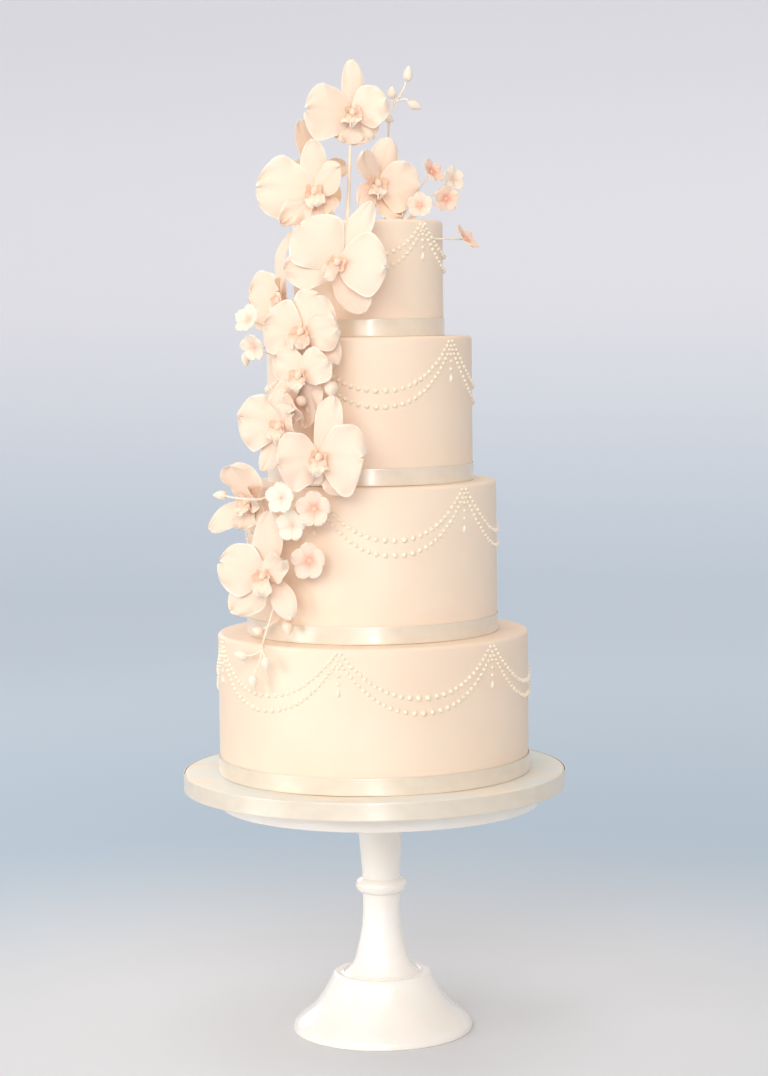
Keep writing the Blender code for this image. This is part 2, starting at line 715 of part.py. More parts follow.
def wire_piece(points):
    """A thin wire through a chain of points in millimetres."""
    curve = bpy.data.curves.new("wire", "CURVE")
    curve.dimensions = "3D"
    curve.bevel_depth = WIRE_RADIUS
    curve.bevel_resolution = 0
    curve.use_fill_caps = True
    spline = curve.splines.new("POLY")
    spline.points.add(len(points) - 1)
    for spot, point in zip(spline.points, points):
        spot.co = (*(Vector(point) * MM), 1.0)
    item = bpy.data.objects.new("wire", curve)
    bpy.context.scene.collection.objects.link(item)
    mesh = finished_mesh(item)
    bpy.data.objects.remove(item, do_unlink=True)
    shape = bmesh.new()
    shape.from_mesh(mesh)
    bmesh.ops.remove_doubles(shape, verts=shape.verts, dist=0.1 * MERGE_DISTANCE)
    shape.to_mesh(mesh)
    shape.free()
    return loose_piece(mesh)


def bud_piece(centre, direction, length, radius):
    """A bud, rounded at its base and pointed at its tip."""
    mesh = ball_mesh(radius * MM, 0.5 * length / radius, BUD_SIDES, 4)
    turn = Vector(direction).to_track_quat("Z", "Y").to_matrix().to_4x4()
    return loose_piece(mesh, Matrix.Translation(Vector(centre) * MM) @ turn)


def build_sprays(collection, material):
    for name, design in SPRAYS.items():
        pieces = [bud_piece(*bud) for bud in design["buds"]]
        pieces += [wire_piece(points) for points in design["wires"]]
        smooth(union(name, pieces, collection, material))


def main():
    clear_scene()
    collection = make_collection("tiered wedding cake")
    build_stand(collection)
    build_tiers(collection)
    petal = make_material("sugar_petal")
    blush = make_material("blush_petal")
    for number, design in enumerate(ORCHIDS, start=1):
        build_orchid(number, design, collection, petal)
    for number, design in enumerate(BLOSSOMS, start=1):
        build_blossom(number, design, collection, blush)
    build_sprays(collection, petal)


main()
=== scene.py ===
"""Looks of the tiered wedding cake: icing, satin ribbons, piped swags, sugar flowers, glass stand."""
import functools
import math

import bmesh
import bpy
import numpy as np
from mathutils import Matrix, Vector


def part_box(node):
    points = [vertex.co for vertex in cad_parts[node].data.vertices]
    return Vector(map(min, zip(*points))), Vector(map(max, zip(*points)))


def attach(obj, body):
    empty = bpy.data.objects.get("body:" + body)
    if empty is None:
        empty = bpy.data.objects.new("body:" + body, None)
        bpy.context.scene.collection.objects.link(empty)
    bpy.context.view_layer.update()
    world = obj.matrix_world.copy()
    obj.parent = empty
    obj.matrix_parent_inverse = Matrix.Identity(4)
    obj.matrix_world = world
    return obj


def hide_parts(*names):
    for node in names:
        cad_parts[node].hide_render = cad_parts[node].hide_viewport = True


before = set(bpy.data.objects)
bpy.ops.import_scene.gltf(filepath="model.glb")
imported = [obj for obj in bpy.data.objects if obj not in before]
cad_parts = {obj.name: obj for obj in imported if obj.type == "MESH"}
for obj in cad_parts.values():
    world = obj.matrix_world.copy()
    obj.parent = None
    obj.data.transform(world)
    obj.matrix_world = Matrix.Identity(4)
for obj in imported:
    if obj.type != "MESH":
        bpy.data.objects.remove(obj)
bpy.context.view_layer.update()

MM = 0.001
GAP = 0.3  # millimetres between pieces that touch
TURN = 2 * math.pi
WELD = 1e-7  # metres; nearer points, as at the poles of round pieces, become one

# Counts, and sizes in millimetres. The frame gives the others
ROUND_STEPS = 192
TIERS = range(1, 5)
TIER_EDGE_ROUNDING = 3.5
BOARD_EDGE_ROUNDING = 1.5
RIBBON_HEIGHT = 15.5


@functools.cache
def node_size(name):
    """Lowest and highest corner of a node, in millimetres."""
    low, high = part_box(name)
    return np.array(low) / MM, np.array(high) / MM


def node_radius(name):
    low, high = node_size(name)
    return (high[0] - low[0]) / 2


def tier_bottom(tier):
    return node_size(f"tier_{tier}")[0][2]


def tier_top(tier):
    return node_size(f"tier_{tier}")[1][2]


# The tiers' boxes take in the piped dots, so their radii come from the ribbons round them
RIBBON_THICKNESS = 0.6
TIER_RADII = {tier: node_radius(f"ribbon_{tier}") - RIBBON_THICKNESS - GAP for tier in TIERS}
BOARD_RADIUS = node_radius("board")
STAND_X = (node_size("stand")[0][0] + node_size("stand")[1][0]) / 2

# Piped swags: number round each tier, azimuth of one peak, and drops below the tier's top
SWAG_COUNTS = {1: 6, 2: 5, 3: 4, 4: 4}
SWAG_PEAK_AZIMUTHS = {1: 47.6, 2: 46.0, 3: 50.8, 4: 45.9}
SWAG_UPPER_STARTS = {1: 1.5, 2: 0.5, 3: 1.5, 4: 1.0}
SWAG_LOWER_STARTS = {1: 10.0, 2: 8.4, 3: 9.2, 4: 6.4}
SWAG_UPPER_DROPS = {1: 45.0, 2: 47.0, 3: 48.0, 4: 32.5}
SWAG_LOWER_DROPS = {1: 58.5, 2: 60.5, 3: 62.5, 4: 45.5}
SWAG_CURVE = 2.3  # two would be a parabola; above two, a swag is fuller at its bottom
SWAG_PAIR_SPACING = 2.6  # from a peak to the first dot of the upper row on either side
PENDANT_DROPS = {1: (17, 24, 31), 2: (16.5, 23.5, 30.5), 3: (17, 23, 30), 4: (13, 18.5, 25)}
TEARDROP_DROPS = {1: 39.5, 2: 40.0, 3: 38.5, 4: 33.0}
DOT_RADIUS_AT_PEAK = 1.6
DOT_SINK = 0.1  # how far a dot's middle is inside the wall
TEARDROP_RADIUS = 1.8
TEARDROP_HALF_LENGTH = 3.8

# The two kinds of petal: where each is widest and how full it is, least and most waves round its rim,
# and in millimetres its ruffles, the sway of its middle line, its crease and the notch in its tip
ROUND = dict(widest=1.2, full=0.52, waves=(5.0, 7.0), ruffle=2.5, sway=0.6, crease=1.7, notch=3.2)
LONG = dict(widest=1.12, full=0.5, waves=(3.5, 5.0), ruffle=1.4, sway=2.2, crease=1.1, notch=0.0)

# The six petals of an orchid, in order, and how far forward of its centre each starts (mm)
LAYER_HEIGHTS = {"dorsal": 0, "left": 2.2, "right": 4.4, "lower_left": 0, "lower_right": -2.2, "lip": 5.4}

# Each orchid: centre (mm), the way it faces (azimuth from the front towards +X, and elevation),
# where its stem ends (a tier's side, or a tier's top at x and y), the place of a bead on it or None,
# how strongly some petals take the heart colour (petal dust and painted shade), and its six petals in the
# order above.
# A petal, seen from the front: kind, direction anticlockwise from the right, length, half width,
# lean towards the viewer, how far its tip bends forward and, if it does, how far its middle bows forward
ORCHIDS = (
    (
        (-13, -22, 853), (6, 6), ("top", 4, -18, -34), None, {"lower_right": 0.3},
        (LONG, 88, 49, 10.5, 6, 3), (ROUND, 177, 44, 26, 12, -2),
        (ROUND, 18, 35, 20, 22, 3), (ROUND, 246, 28, 19, 10, 0),
        (ROUND, 306, 30, 17, 10, 0), (ROUND, 262, 15, 9, 50, -4),
    ),
    (
        (-46, -34, 782), (-14, 4), ("top", 4, -30, -26), None, {"lower_left": 0.4, "lower_right": 0.6},
        (LONG, 93, 49, 12.5, 13, 2), (ROUND, 174, 55, 29, 12, -2),
        (LONG, 33, 38, 13.5, 24, 2), (ROUND, 224, 44, 12, 19, 0),
        (ROUND, 296, 27, 14, 18, 0), (ROUND, 280, 17, 9, 48, -4),
    ),
    (
        (8, -26, 789), (18, 4), ("top", 4, 6, -12), None,
        {"left": 0.6, "dorsal": 0.5, "lower_left": 0.6, "lower_right": 0.3},
        (LONG, 72, 44, 14, 4, 3), (LONG, 122, 38, 11, 26, 2),
        (ROUND, 355, 39.5, 24, 12, -2), (LONG, 225, 29, 11, 16, 0),
        (ROUND, 308, 38, 13, 8, 0), (ROUND, 262, 15, 8, 50, -4),
    ),
    (
        (-26, -92, 716), (-10, 8), ("side", 4), None, {"left": 0.45, "lower_left": 0.3, "right": 0.2},
        (LONG, 63, 63, 11.5, 4, -2), (ROUND, 134, 50, 27, 10, -2),
        (ROUND, 356, 45, 28, 10, -2), (ROUND, 188, 50, 18, 4, 0),
        (LONG, 295, 49, 15.5, 2, 0), (LONG, 230, 20, 8, 40, -4),
    ),
    (
        (-76, -30, 684), (-56, 4), ("side", 4), None, {"left": 0.5},
        (LONG, 96, 65, 9.5, -6, 0, 9), (ROUND, 174, 38, 27, 30, -2),
        (ROUND, 24, 26, 16, 34, 4), (LONG, 232, 28, 11, 8, 2),
        (LONG, 300, 28, 11, 16, 2), (ROUND, 270, 14, 7, 45, -4),
    ),
    (
        (-58, -100, 655), (-22, 8), ("side", 4), None, {"left": 0.65, "lip": 0.6},
        (ROUND, 60, 40, 25, 14, 2), (ROUND, 168, 36, 25, 16, 0),
        (ROUND, 6, 38, 18, 8, 0), (LONG, 226, 26, 11, -18, 0),
        (ROUND, 318, 42, 17, 2, 0), (ROUND, 262, 16, 11, 52, -4),
    ),
    (
        (-60, -112, 618), (-24, 0), ("side", 3), (1, -22, 4), {"lower_left": 0.6, "lower_right": 0.4},
        (ROUND, 141, 32, 17, 2, 0), (LONG, 226, 52, 12, -4, 0),
        (ROUND, 26, 34, 17, 8, 0), (ROUND, 265, 47, 16, -12, 0),
        (ROUND, 286, 36, 12.5, -6, 0), (ROUND, 268, 15, 8, 50, -4),
    ),
    (
        (-78, -106, 573), (-28, 0), ("side", 3), None, {"dorsal": 0.6, "right": 0.6},
        (ROUND, 72, 34, 18, 20, 0), (ROUND, 168, 42, 26, 12, -2),
        (ROUND, 34, 26, 14, 24, 2), (LONG, 240, 45, 10.5, 2, -2),
        (LONG, 282, 44, 11, 0, 0), (ROUND, 260, 15, 8, 50, -4),
    ),
    (
        (-44, -126, 546), (-12, 2), ("side", 3), None, {"left": 0.85, "dorsal": 0.3},
        (LONG, 74, 56, 13.5, 6, -2), (ROUND, 187, 38, 27, 14, 0),
        (ROUND, 0, 41, 32, 10, -2), (LONG, 244, 24, 9, 2, 0),
        (ROUND, 308, 38, 15, 4, 0), (ROUND, 262, 17, 10, 48, -4),
    ),
    (
        (-108, -76, 504), (-38, 6), ("side", 2), None, {"dorsal": 0.6, "lower_left": 0.5, "right": 0.5},
        (ROUND, 97, 41, 21, 30, 5), (LONG, 213, 50, 11, 6, 0),
        (ROUND, 18, 20, 12, 30, 2), (ROUND, 250, 27, 13, 14, 2),
        (LONG, 300, 24, 10, 12, 0), (ROUND, 262, 15, 8, 50, -2),
    ),
    (
        (-95, -99, 439), (-24, 2), ("side", 2), None, {},
        (LONG, 86, 60, 14.5, 4, 1), (ROUND, 164, 45, 25, 12, -2),
        (ROUND, 34, 32, 14, 18, 2), (ROUND, 225, 46, 18, 6, 0),
        (LONG, 310, 46, 12, 8, 0), (ROUND, 282, 19, 9, 42, -4),
    ),
    (
        (-44, 10, 796), (200, 10), ("top", 4, -30, 8), None, {"dorsal": 0.2, "left": 0.4},
        (LONG, 70, 58, 11, 2, 2, 6), (LONG, 150, 32, 11, 12, -2),
        (ROUND, 10, 32, 16, 12, -2), (LONG, 225, 30, 11, 6, 0),
        (LONG, 315, 32, 11, 6, 0), (ROUND, 270, 15, 8, 48, -4),
    ),
)

# Each small five-petal blossom: centre (mm), facing, radius (mm), where its stem ends, and how pink it is
BLOSSOMS = (
    ((59, -2, 801), (48, 30), 12.5, ("top", 4, 30, 4), 0.8),
    ((79, 12, 795), (34, 14), 12, ("top", 4, 36, 18), 0.2),
    ((72, -16, 776), (14, -4), 12, ("top", 4, 38, -8), 0.7),
    ((48, -40, 769), (-6, 14), 12, ("top", 4, 34, -30), 0.5),
    ((89, -6, 739), (62, 40), 14, ("side", 4), 0.7),
    ((-108, -63, 668), (-40, 24), 14, ("top", 3, -78, -44), 0.2),
    ((-103, -70, 644), (-34, -20), 13, ("side", 3), 0.2),
    ((-79, -119, 511), (-28, 4), 14.5, ("side", 2), 0.0),
    ((-70, -114, 486), (-24, 0), 14.5, ("side", 2), 0.1),
    ((-50, -127, 501), (-16, 4), 16.5, ("side", 2), 0.5),
    ((-55, -115, 454), (-20, 2), 17, ("side", 2), 0.5),
)

# Each spray: buds as (centre, direction of the tip, length, radius) and wires as chains of points, in mm
SPRAYS = {
    "bud_spray_top": (
        (
            ((39, 0, 891), (0.1, 0, 1), 15, 5), ((24, 0, 874), (0, 0, 1), 12, 4.6),
            ((45, 0, 862), (0.9, 0, -0.4), 14, 4.8), ((21, 0, 850), (0.7, 0, -0.3), 10, 4),
        ),
        (
            ((16, 20, 758.1), (17, 16, 800), (20, 6, 835), (25, 1, 862), (36, 0, 868), (40, 0, 864)),
            ((25, 1, 862), (24, 0, 870)),
            ((25, 1, 862), (34, 1, 876), (38, 0, 887)),
            ((20, 6, 835), (20, 2, 848)),
        ),
    ),
    "bud_spray_side": (
        (((-136, -78, 511), (-1, 0.4, 0), 14, 4.8),),
        (((-80, -76, 519.7), (-86, -94, 516), (-98, -106, 509), (-120, -102, 510), (-132, -82, 511)),),
    ),
    "bud_spray_foot": (
        (
            ((-118, -102, 369), (-1, 0, 0.3), 14, 5),
            ((-95, -126, 363), (0.1, -0.1, -1), 16, 5),
            ((-107, -118, 346), (0, 0, -1), 16, 4.6),
        ),
        (
            (
                (-86, -94, 419), (-92, -98, 400), (-98.4, -101.5, 379.7),
                (-98, -117, 375), (-102, -120, 363), (-107, -118, 352),
            ),
            ((-98, -117, 375), (-108, -110, 370), (-114, -104, 369)),
            ((-98, -117, 375), (-96, -124, 369)),
        ),
    ),
    "bud_waist": (
        (((-112, -46, 632), (0, 0, -1), 14, 4.8),),
        (((-88, -38.5, 636), (-102, -43, 640), (-112, -46, 637)),),
    ),
    "bud_round": (
        (((-34, -118, 606), (0.1, -0.2, -1), 16, 7.2),),
        (((-31, -91.2, 611), (-34, -113, 609)),),
    ),
    "bud_left_base": (
        (((-104, -80, 388), (-0.9, -0.2, 0.3), 12, 5),),
        (((-84, -84, 399), (-92, -83, 394), (-100, -81, 389)),),
    ),
    "bud_front_base": (
        (((-76, -104, 393), (0.1, -0.3, -1), 13, 5.5),),
        (((-72, -95, 399), (-75, -102, 397)),),
    ),
}
STEM_RADIUS = 1.8
STEM_SIDE_LIMIT = 0.85  # how far round the side a stem meets a tier, as a share of its radius
WIRE_RADIUS = 0.9
BEAD_RADIUS = 5.0


# Mesh building

def add_object(name, data):
    item = bpy.data.objects.new(name, data)
    bpy.context.scene.collection.objects.link(item)
    return item


class Shape:
    """Points, faces, surface coordinates and tints of one piece, gathered part by part."""

    def __init__(self):
        self.points = []
        self.faces = []
        self.coordinates = []
        self.tints = []
        self.slots = []
        self.count = 0

    def add(self, points, faces, coordinates, tint=0.0, slot=0):
        points = np.asarray(points, float).reshape(-1, 3)
        self.points.append(points)
        self.coordinates.append(np.asarray(coordinates, float).reshape(-1, 2))
        self.tints.append(np.broadcast_to(np.asarray(tint, float).ravel(), (len(points),)))
        faces = np.asarray(faces) + self.count
        self.faces.extend(faces.tolist())
        self.slots.extend([slot] * len(faces))
        self.count += len(points)

    def piece(self, name, materials):
        """Make the object, in metres, from what was gathered."""
        mesh = bpy.data.meshes.new(name)
        mesh.from_pydata((np.concatenate(self.points) * MM).tolist(), [], self.faces)
        coordinates = np.concatenate(self.coordinates)
        corners = np.zeros(len(mesh.loops), np.int32)
        mesh.loops.foreach_get("vertex_index", corners)
        layer = mesh.uv_layers.new(name="UVMap")
        layer.data.foreach_set("uv", coordinates[corners].ravel())
        tint = mesh.attributes.new("tint", "FLOAT", "POINT")
        tint.data.foreach_set("value", np.concatenate(self.tints).astype(np.float32))
        for material in materials:
            mesh.materials.append(material)
        mesh.polygons.foreach_set("material_index", self.slots)
        weld = bmesh.new()
        weld.from_mesh(mesh)
        bmesh.ops.remove_doubles(weld, verts=weld.verts, dist=WELD)
        bmesh.ops.recalc_face_normals(weld, faces=weld.faces)
        weld.to_mesh(mesh)
        weld.free()
        mesh.validate()
        mesh.shade_smooth()
        mesh.set_sharp_from_angle(angle=math.radians(55))
        return add_object(name, mesh)


def grid_faces(rows, columns, closed=False):
    """Quads between the points of a grid; a closed grid's last column joins its first."""
    faces = []
    last = columns if closed else columns - 1
    for row in range(rows - 1):
        for column in range(last):
            following = (column + 1) % columns
            faces.append((
                row * columns + column,
                (row + 1) * columns + column,
                (row + 1) * columns + following,
                row * columns + following,
            ))
    return faces


def grid_of(*fields):
    """Fields that run along, across or over a grid, stacked point by point."""
    return np.stack(np.broadcast_arrays(*fields), axis=2)


def sheet_solid(surface, thickness):
    """A closed thin solid about a grid of points, its thickness given at each of them."""
    rows, columns = surface.shape[:2]
    along = np.gradient(surface, axis=0)
    across = np.gradient(surface, axis=1)
    normals = np.cross(along, across)
    normals /= np.maximum(np.linalg.norm(normals, axis=2, keepdims=True), 1e-9)
    offset = normals * (thickness[..., None] / 2)
    points = np.concatenate([(surface + offset).reshape(-1, 3), (surface - offset).reshape(-1, 3)])
    count = rows * columns
    faces = grid_faces(rows, columns)
    faces += [tuple(index + count for index in reversed(face)) for face in grid_faces(rows, columns)]
    rim = [(0, column) for column in range(columns)]
    rim += [(row, columns - 1) for row in range(1, rows)]
    rim += [(rows - 1, column) for column in range(columns - 2, -1, -1)]
    rim += [(row, 0) for row in range(rows - 2, 0, -1)]
    indices = [row * columns + column for row, column in rim]
    for here, after in zip(indices, indices[1:] + indices[:1]):
        faces.append((here, after, after + count, here + count))
    return points, faces


def moved(points, matrix):
    """Points moved by a 4x4 matrix in millimetres."""
    array = np.array(matrix)
    return np.asarray(points).reshape(-1, 3) @ array[:3, :3].T + array[:3, 3]


def ripple(first, second, seed, scale=1.0):
    """A smooth uneven field from a few sine waves, between about -1 and 1."""
    draws = np.random.default_rng(seed)
    total = np.zeros(np.broadcast(first, second).shape)
    for _ in range(6):
        frequency = draws.uniform(-1.0, 1.0, 2) * scale
        total = total + np.sin(first * frequency[0] + second * frequency[1] + draws.uniform(0, TURN))
    return total / 3.0


def revolve(profile, steps):
    """Points, faces and surface coordinates of a profile of (radius, height) turned about Z."""
    profile = np.asarray(profile, float)
    angles = np.arange(steps) * TURN / steps
    radius, height = profile[:, :1], profile[:, 1:]
    points = grid_of(radius * np.sin(angles), -radius * np.cos(angles), height)
    faces = [tuple(reversed(face)) for face in grid_faces(len(profile), steps, closed=True)]
    run = np.concatenate([[0], np.cumsum(np.linalg.norm(np.diff(profile, axis=0), axis=1))])
    return points, faces, grid_of(angles / TURN, run[:, None] / run[-1])


def arc(centre, radius, start, end, steps):
    """Points of an arc in the (radius, height) plane, its angles in degrees."""
    angles = np.radians(np.linspace(start, end, steps + 1))
    return [(centre[0] + radius * math.cos(a), centre[1] + radius * math.sin(a)) for a in angles]


def smooth_chain(points, steps):
    """A smooth curve through given points."""
    points = np.asarray(points, float)
    padded = np.concatenate([[2 * points[0] - points[1]], points, [2 * points[-1] - points[-2]]])
    result = []
    for index in range(1, len(padded) - 2):
        before, start, end, after = padded[index - 1:index + 3]
        for step in range(steps):
            t = step / steps
            result.append(0.5 * (
                2 * start + (end - before) * t
                + (2 * before - 5 * start + 4 * end - after) * t ** 2
                + (3 * start - before - 3 * end + after) * t ** 3
            ))
    result.append(points[-1])
    return np.array(result)


def add_tube(shape, points, radii, slot):
    """A closed tube along a chain of points, its two ends capped with triangles."""
    sides, count = 10, len(points)
    points = np.asarray(points, float)
    radii = np.broadcast_to(np.asarray(radii, float), (count,))
    directions = np.gradient(points, axis=0)
    directions /= np.linalg.norm(directions, axis=1, keepdims=True)
    guide = np.array([0.3, 0.9, 0.2])
    side = np.cross(directions, guide)
    side /= np.linalg.norm(side, axis=1, keepdims=True)
    upward = np.cross(directions, side)
    angles = np.arange(sides) * TURN / sides
    ring = (
        side[:, None, :] * np.cos(angles)[None, :, None]
        + upward[:, None, :] * np.sin(angles)[None, :, None]
    )
    rings = points[:, None, :] + ring * radii[:, None, None]
    coordinates = np.zeros((count * sides + 2, 2))
    coordinates[:-2, 0] = np.repeat(np.linspace(0, 1, count), sides)
    coordinates[:-2, 1] = np.tile(np.linspace(0, 1, sides), count)
    start = shape.count
    positions = np.concatenate([rings.reshape(-1, 3), points[:1], points[-1:]])
    shape.add(positions, grid_faces(count, sides, closed=True), coordinates, slot=slot)
    first_middle = start + count * sides
    last_ring = first_middle - sides
    for step in range(sides):
        following = (step + 1) % sides
        shape.faces.append((first_middle, start + step, start + following))
        shape.faces.append((first_middle + 1, last_ring + following, last_ring + step))
        shape.slots.extend([slot] * 2)


# Materials

def srgb(*values):
    """Linear colour from everyday 0 to 255 values."""
    linear = []
    for value in values:
        share = value / 255
        linear.append(share / 12.92 if share <= 0.04045 else ((share + 0.055) / 1.055) ** 2.4)
    return (*linear, 1.0)


def fill(node, values):
    """Set sockets of a node to constants."""
    for name, value in values.items():
        node.inputs[name].default_value = value


SCATTER_RADIUS = (1.0, 0.6, 0.4)  # how far red, green and blue light goes through icing and glass
SCATTER_SCALE = 0.004  # metres
COAT_ROUGHNESS = 0.12


class Surface:
    """A Principled material and shortcuts to add its nodes."""

    def __init__(self, name, roughness, subsurface=0.0, coat=0.0):
        self.material = bpy.data.materials.new(name)
        self.material.use_nodes = True
        self.nodes = self.material.node_tree.nodes
        self.links = self.material.node_tree.links
        self.shader = self.nodes["Principled BSDF"]
        fill(self.shader, {
            "Roughness": roughness,
            "Subsurface Weight": subsurface,
            "Subsurface Radius": SCATTER_RADIUS,
            "Subsurface Scale": SCATTER_SCALE,
            "Coat Weight": coat,
            "Coat Roughness": COAT_ROUGHNESS,
        })

    def node(self, kind, **settings):
        made = self.nodes.new(kind)
        for key, value in settings.items():
            setattr(made, key, value)
        return made

    def link(self, source, target):
        self.links.new(source, target)

    def place(self, kind="Object", scale=(1.0, 1.0, 1.0)):
        """Texture coordinates, stretched."""
        source = self.node("ShaderNodeTexCoord")
        mapping = self.node("ShaderNodeMapping")
        fill(mapping, {"Scale": scale})
        self.link(source.outputs[kind], mapping.inputs["Vector"])
        return mapping.outputs["Vector"]

    def noise(self, vector, scale, detail=2.0):
        made = self.node("ShaderNodeTexNoise")
        fill(made, {"Scale": scale, "Detail": detail})
        self.link(vector, made.inputs["Vector"])
        return made.outputs["Fac"]

    def spread(self, value, low, high, to_low=0.0, to_high=1.0):
        made = self.node("ShaderNodeMapRange", interpolation_type="SMOOTHSTEP")
        self.link(value, made.inputs["Value"])
        fill(made, {"From Min": low, "From Max": high, "To Min": to_low, "To Max": to_high})
        return made.outputs["Result"]

    def math(self, operation, first, second):
        made = self.node("ShaderNodeMath", operation=operation)
        for index, value in enumerate((first, second)):
            if isinstance(value, (int, float)):
                made.inputs[index].default_value = value
            else:
                self.link(value, made.inputs[index])
        return made.outputs["Value"]

    def mix(self, factor, first, second):
        """Blend two colours, each a value or another node's output."""
        made = self.node("ShaderNodeMix", data_type="RGBA")
        self.link(factor, made.inputs["Factor"])
        for name, value in (("A", first), ("B", second)):
            socket = next(s for s in made.inputs if s.name == name and s.type == "RGBA")
            if isinstance(value, tuple):
                socket.default_value = value
            else:
                self.link(value, socket)
        return next(s for s in made.outputs if s.type == "RGBA")

    def colour(self, output):
        self.link(output, self.shader.inputs["Base Color"])

    def bump(self, height, distance, strength, below=None):
        made = self.node("ShaderNodeBump")
        fill(made, {"Strength": strength, "Distance": distance})
        self.link(height, made.inputs["Height"])
        if below:
            self.link(below, made.inputs["Normal"])
        return made.outputs["Normal"]

    def normal(self, output):
        self.link(output, self.shader.inputs["Normal"])


FONDANT = srgb(249, 225, 200)
FONDANT_WARM = srgb(247, 220, 194)
BOARD_ICING = srgb(226, 229, 222)
IVORY = srgb(246, 217, 194)
# Petal edge colour: partly the paler thin paste edge, partly a painted highlight
PALE_RIM_AND_HIGHLIGHT = srgb(250, 237, 219)
# Heart colours: partly real petal dust, partly painted shade
BLUSH = srgb(244, 211, 188)
PEACH = srgb(242, 196, 168)
PINK = srgb(243, 170, 140)
FLOOR_NEAR = srgb(226, 226, 227)
FLOOR_FAR = srgb(193, 209, 222)
WALL_TOP = srgb(214, 210, 213)
FLOOR_GLOW = (0.96, 0.97, 1.0, 1.0)


def fondant_material(name, first, second):
    made = Surface(name, roughness=0.48, subsurface=0.12)
    place = made.place()
    cloudy = made.spread(made.noise(place, 9.0, 3.0), 0.35, 0.65)
    made.colour(made.mix(cloudy, first, second))
    gentle = made.bump(made.noise(place, 45.0), 0.0006, 0.25)
    grain = made.bump(made.noise(place, 1400.0, 3.0), 0.00006, 0.35, gentle)
    made.normal(grain)
    patchy = made.spread(made.noise(place, 60.0), 0.3, 0.7, 0.42, 0.56)
    made.link(patchy, made.shader.inputs["Roughness"])
    return made.material


def satin_material():
    made = Surface("satin", roughness=0.34, coat=0.3)
    fill(made.shader, {"IOR": 1.8, "Specular IOR Level": 0.9})
    fill(made.shader, {"Anisotropic": 0.7, "Anisotropic Rotation": 0.25})
    threads = made.place("UV", (14.0, 46.0, 1.0))
    weave = made.place("UV", (30.0, 1.0, 1.0))
    streak = made.noise(threads, 1.0, 3.0)
    soft = made.noise(weave, 1.0)
    made.colour(made.mix(made.spread(soft, 0.3, 0.7), srgb(233, 218, 195), srgb(228, 211, 187)))
    made.normal(made.bump(streak, 0.00001, 0.12, made.bump(soft, 0.0003, 0.12)))
    made.link(made.spread(streak, 0.3, 0.7, 0.32, 0.37), made.shader.inputs["Roughness"])
    return made.material


def milk_glass_material():
    made = Surface("milk_glass", roughness=0.14, subsurface=0.1, coat=0.5)
    place = made.place()
    depth = made.spread(made.noise(place, 14.0), 0.35, 0.65)
    made.colour(made.mix(depth, srgb(255, 248, 239), srgb(253, 243, 231)))
    made.normal(made.bump(made.noise(place, 30.0), 0.0008, 0.12))
    return made.material


def petal_material(name, rim, heart, reach, least):
    """Sugar paste petals: towards the heart, petal dust deepened with painted shade; veined along their
    length.
    """
    made = Surface(name, roughness=0.55, subsurface=0.18)
    split = made.node("ShaderNodeSeparateXYZ")
    made.link(made.place("UV"), split.inputs["Vector"])
    along, across = split.outputs["X"], split.outputs["Y"]
    tint = made.node("ShaderNodeAttribute", attribute_name="tint")
    # Towards the heart the petal takes the heart colour: partly real petal dust, partly painted shade
    heart_dust_and_shade = made.spread(along, 0.05, reach, 1.0, 0.0)
    mottled = made.noise(made.place("Object"), 70.0, 3.0)
    heart_dust_and_shade = made.math("MULTIPLY", heart_dust_and_shade, made.spread(mottled, 0.25, 0.75, 0.7, 1.15))
    strength = made.math("ADD", tint.outputs["Fac"], least)
    amount = made.math("MULTIPLY", heart_dust_and_shade, strength)
    amount = made.math("ADD", amount, made.math("MULTIPLY", tint.outputs["Fac"], 0.7))
    dust_and_shade_colour = made.mix(made.math("MINIMUM", amount, 1.0), rim, heart)
    # Side and tip edges turn paler: partly the thin paste edge, partly a painted highlight where the
    # edges catch the light
    side_edge = made.spread(made.math("ABSOLUTE", across, 0.0), 0.9, 1.0, 0.0, 0.8)
    tip_edge = made.spread(along, 0.94, 0.995, 0.0, 0.8)
    made.colour(made.mix(made.math("MAXIMUM", side_edge, tip_edge), dust_and_shade_colour, PALE_RIM_AND_HIGHLIGHT))
    veins = made.place("UV", (0.7, 26.0, 1.0))
    rib = made.noise(veins, 1.0)
    fine = made.noise(made.place("Object"), 900.0)
    made.normal(made.bump(fine, 0.00005, 0.3, made.bump(rib, 0.0008, 0.35)))
    return made.material


def plain_sugar_material(name, first, second, roughness):
    """Piped icing, buds and stems."""
    made = Surface(name, roughness=roughness, subsurface=0.15)
    place = made.place()
    made.colour(made.mix(made.spread(made.noise(place, 120.0), 0.3, 0.7), first, second))
    made.normal(made.bump(made.noise(place, 700.0), 0.00008, 0.3))
    return made.material


MATERIALS = {
    "fondant": fondant_material("fondant", FONDANT, FONDANT_WARM),
    "board_icing": fondant_material("board_icing", BOARD_ICING, srgb(241, 227, 207)),
    "satin": satin_material(),
    "milk_glass": milk_glass_material(),
    "petal": petal_material("orchid_petal", IVORY, BLUSH, 0.6, 0.65),
    "lip": petal_material("orchid_lip", srgb(246, 226, 203), PEACH, 0.85, 0.7),
    "blossom": petal_material("blossom_petal", srgb(248, 234, 214), PINK, 0.6, 0.3),
    "pearl": plain_sugar_material("piped_pearl", srgb(252, 236, 214), srgb(250, 231, 207), 0.4),
    "bud": plain_sugar_material("bud_sugar", srgb(246, 231, 212), srgb(243, 222, 199), 0.5),
    "wire": plain_sugar_material("wrapped_wire", srgb(248, 234, 212), srgb(243, 226, 201), 0.6),
}


def settle(piece, slot, *nodes):
    """Fix a piece to the cake and hide the nodes it stands for; the name of its finish is not used."""
    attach(piece, "root")
    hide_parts(*nodes)


# Camera, light and floor

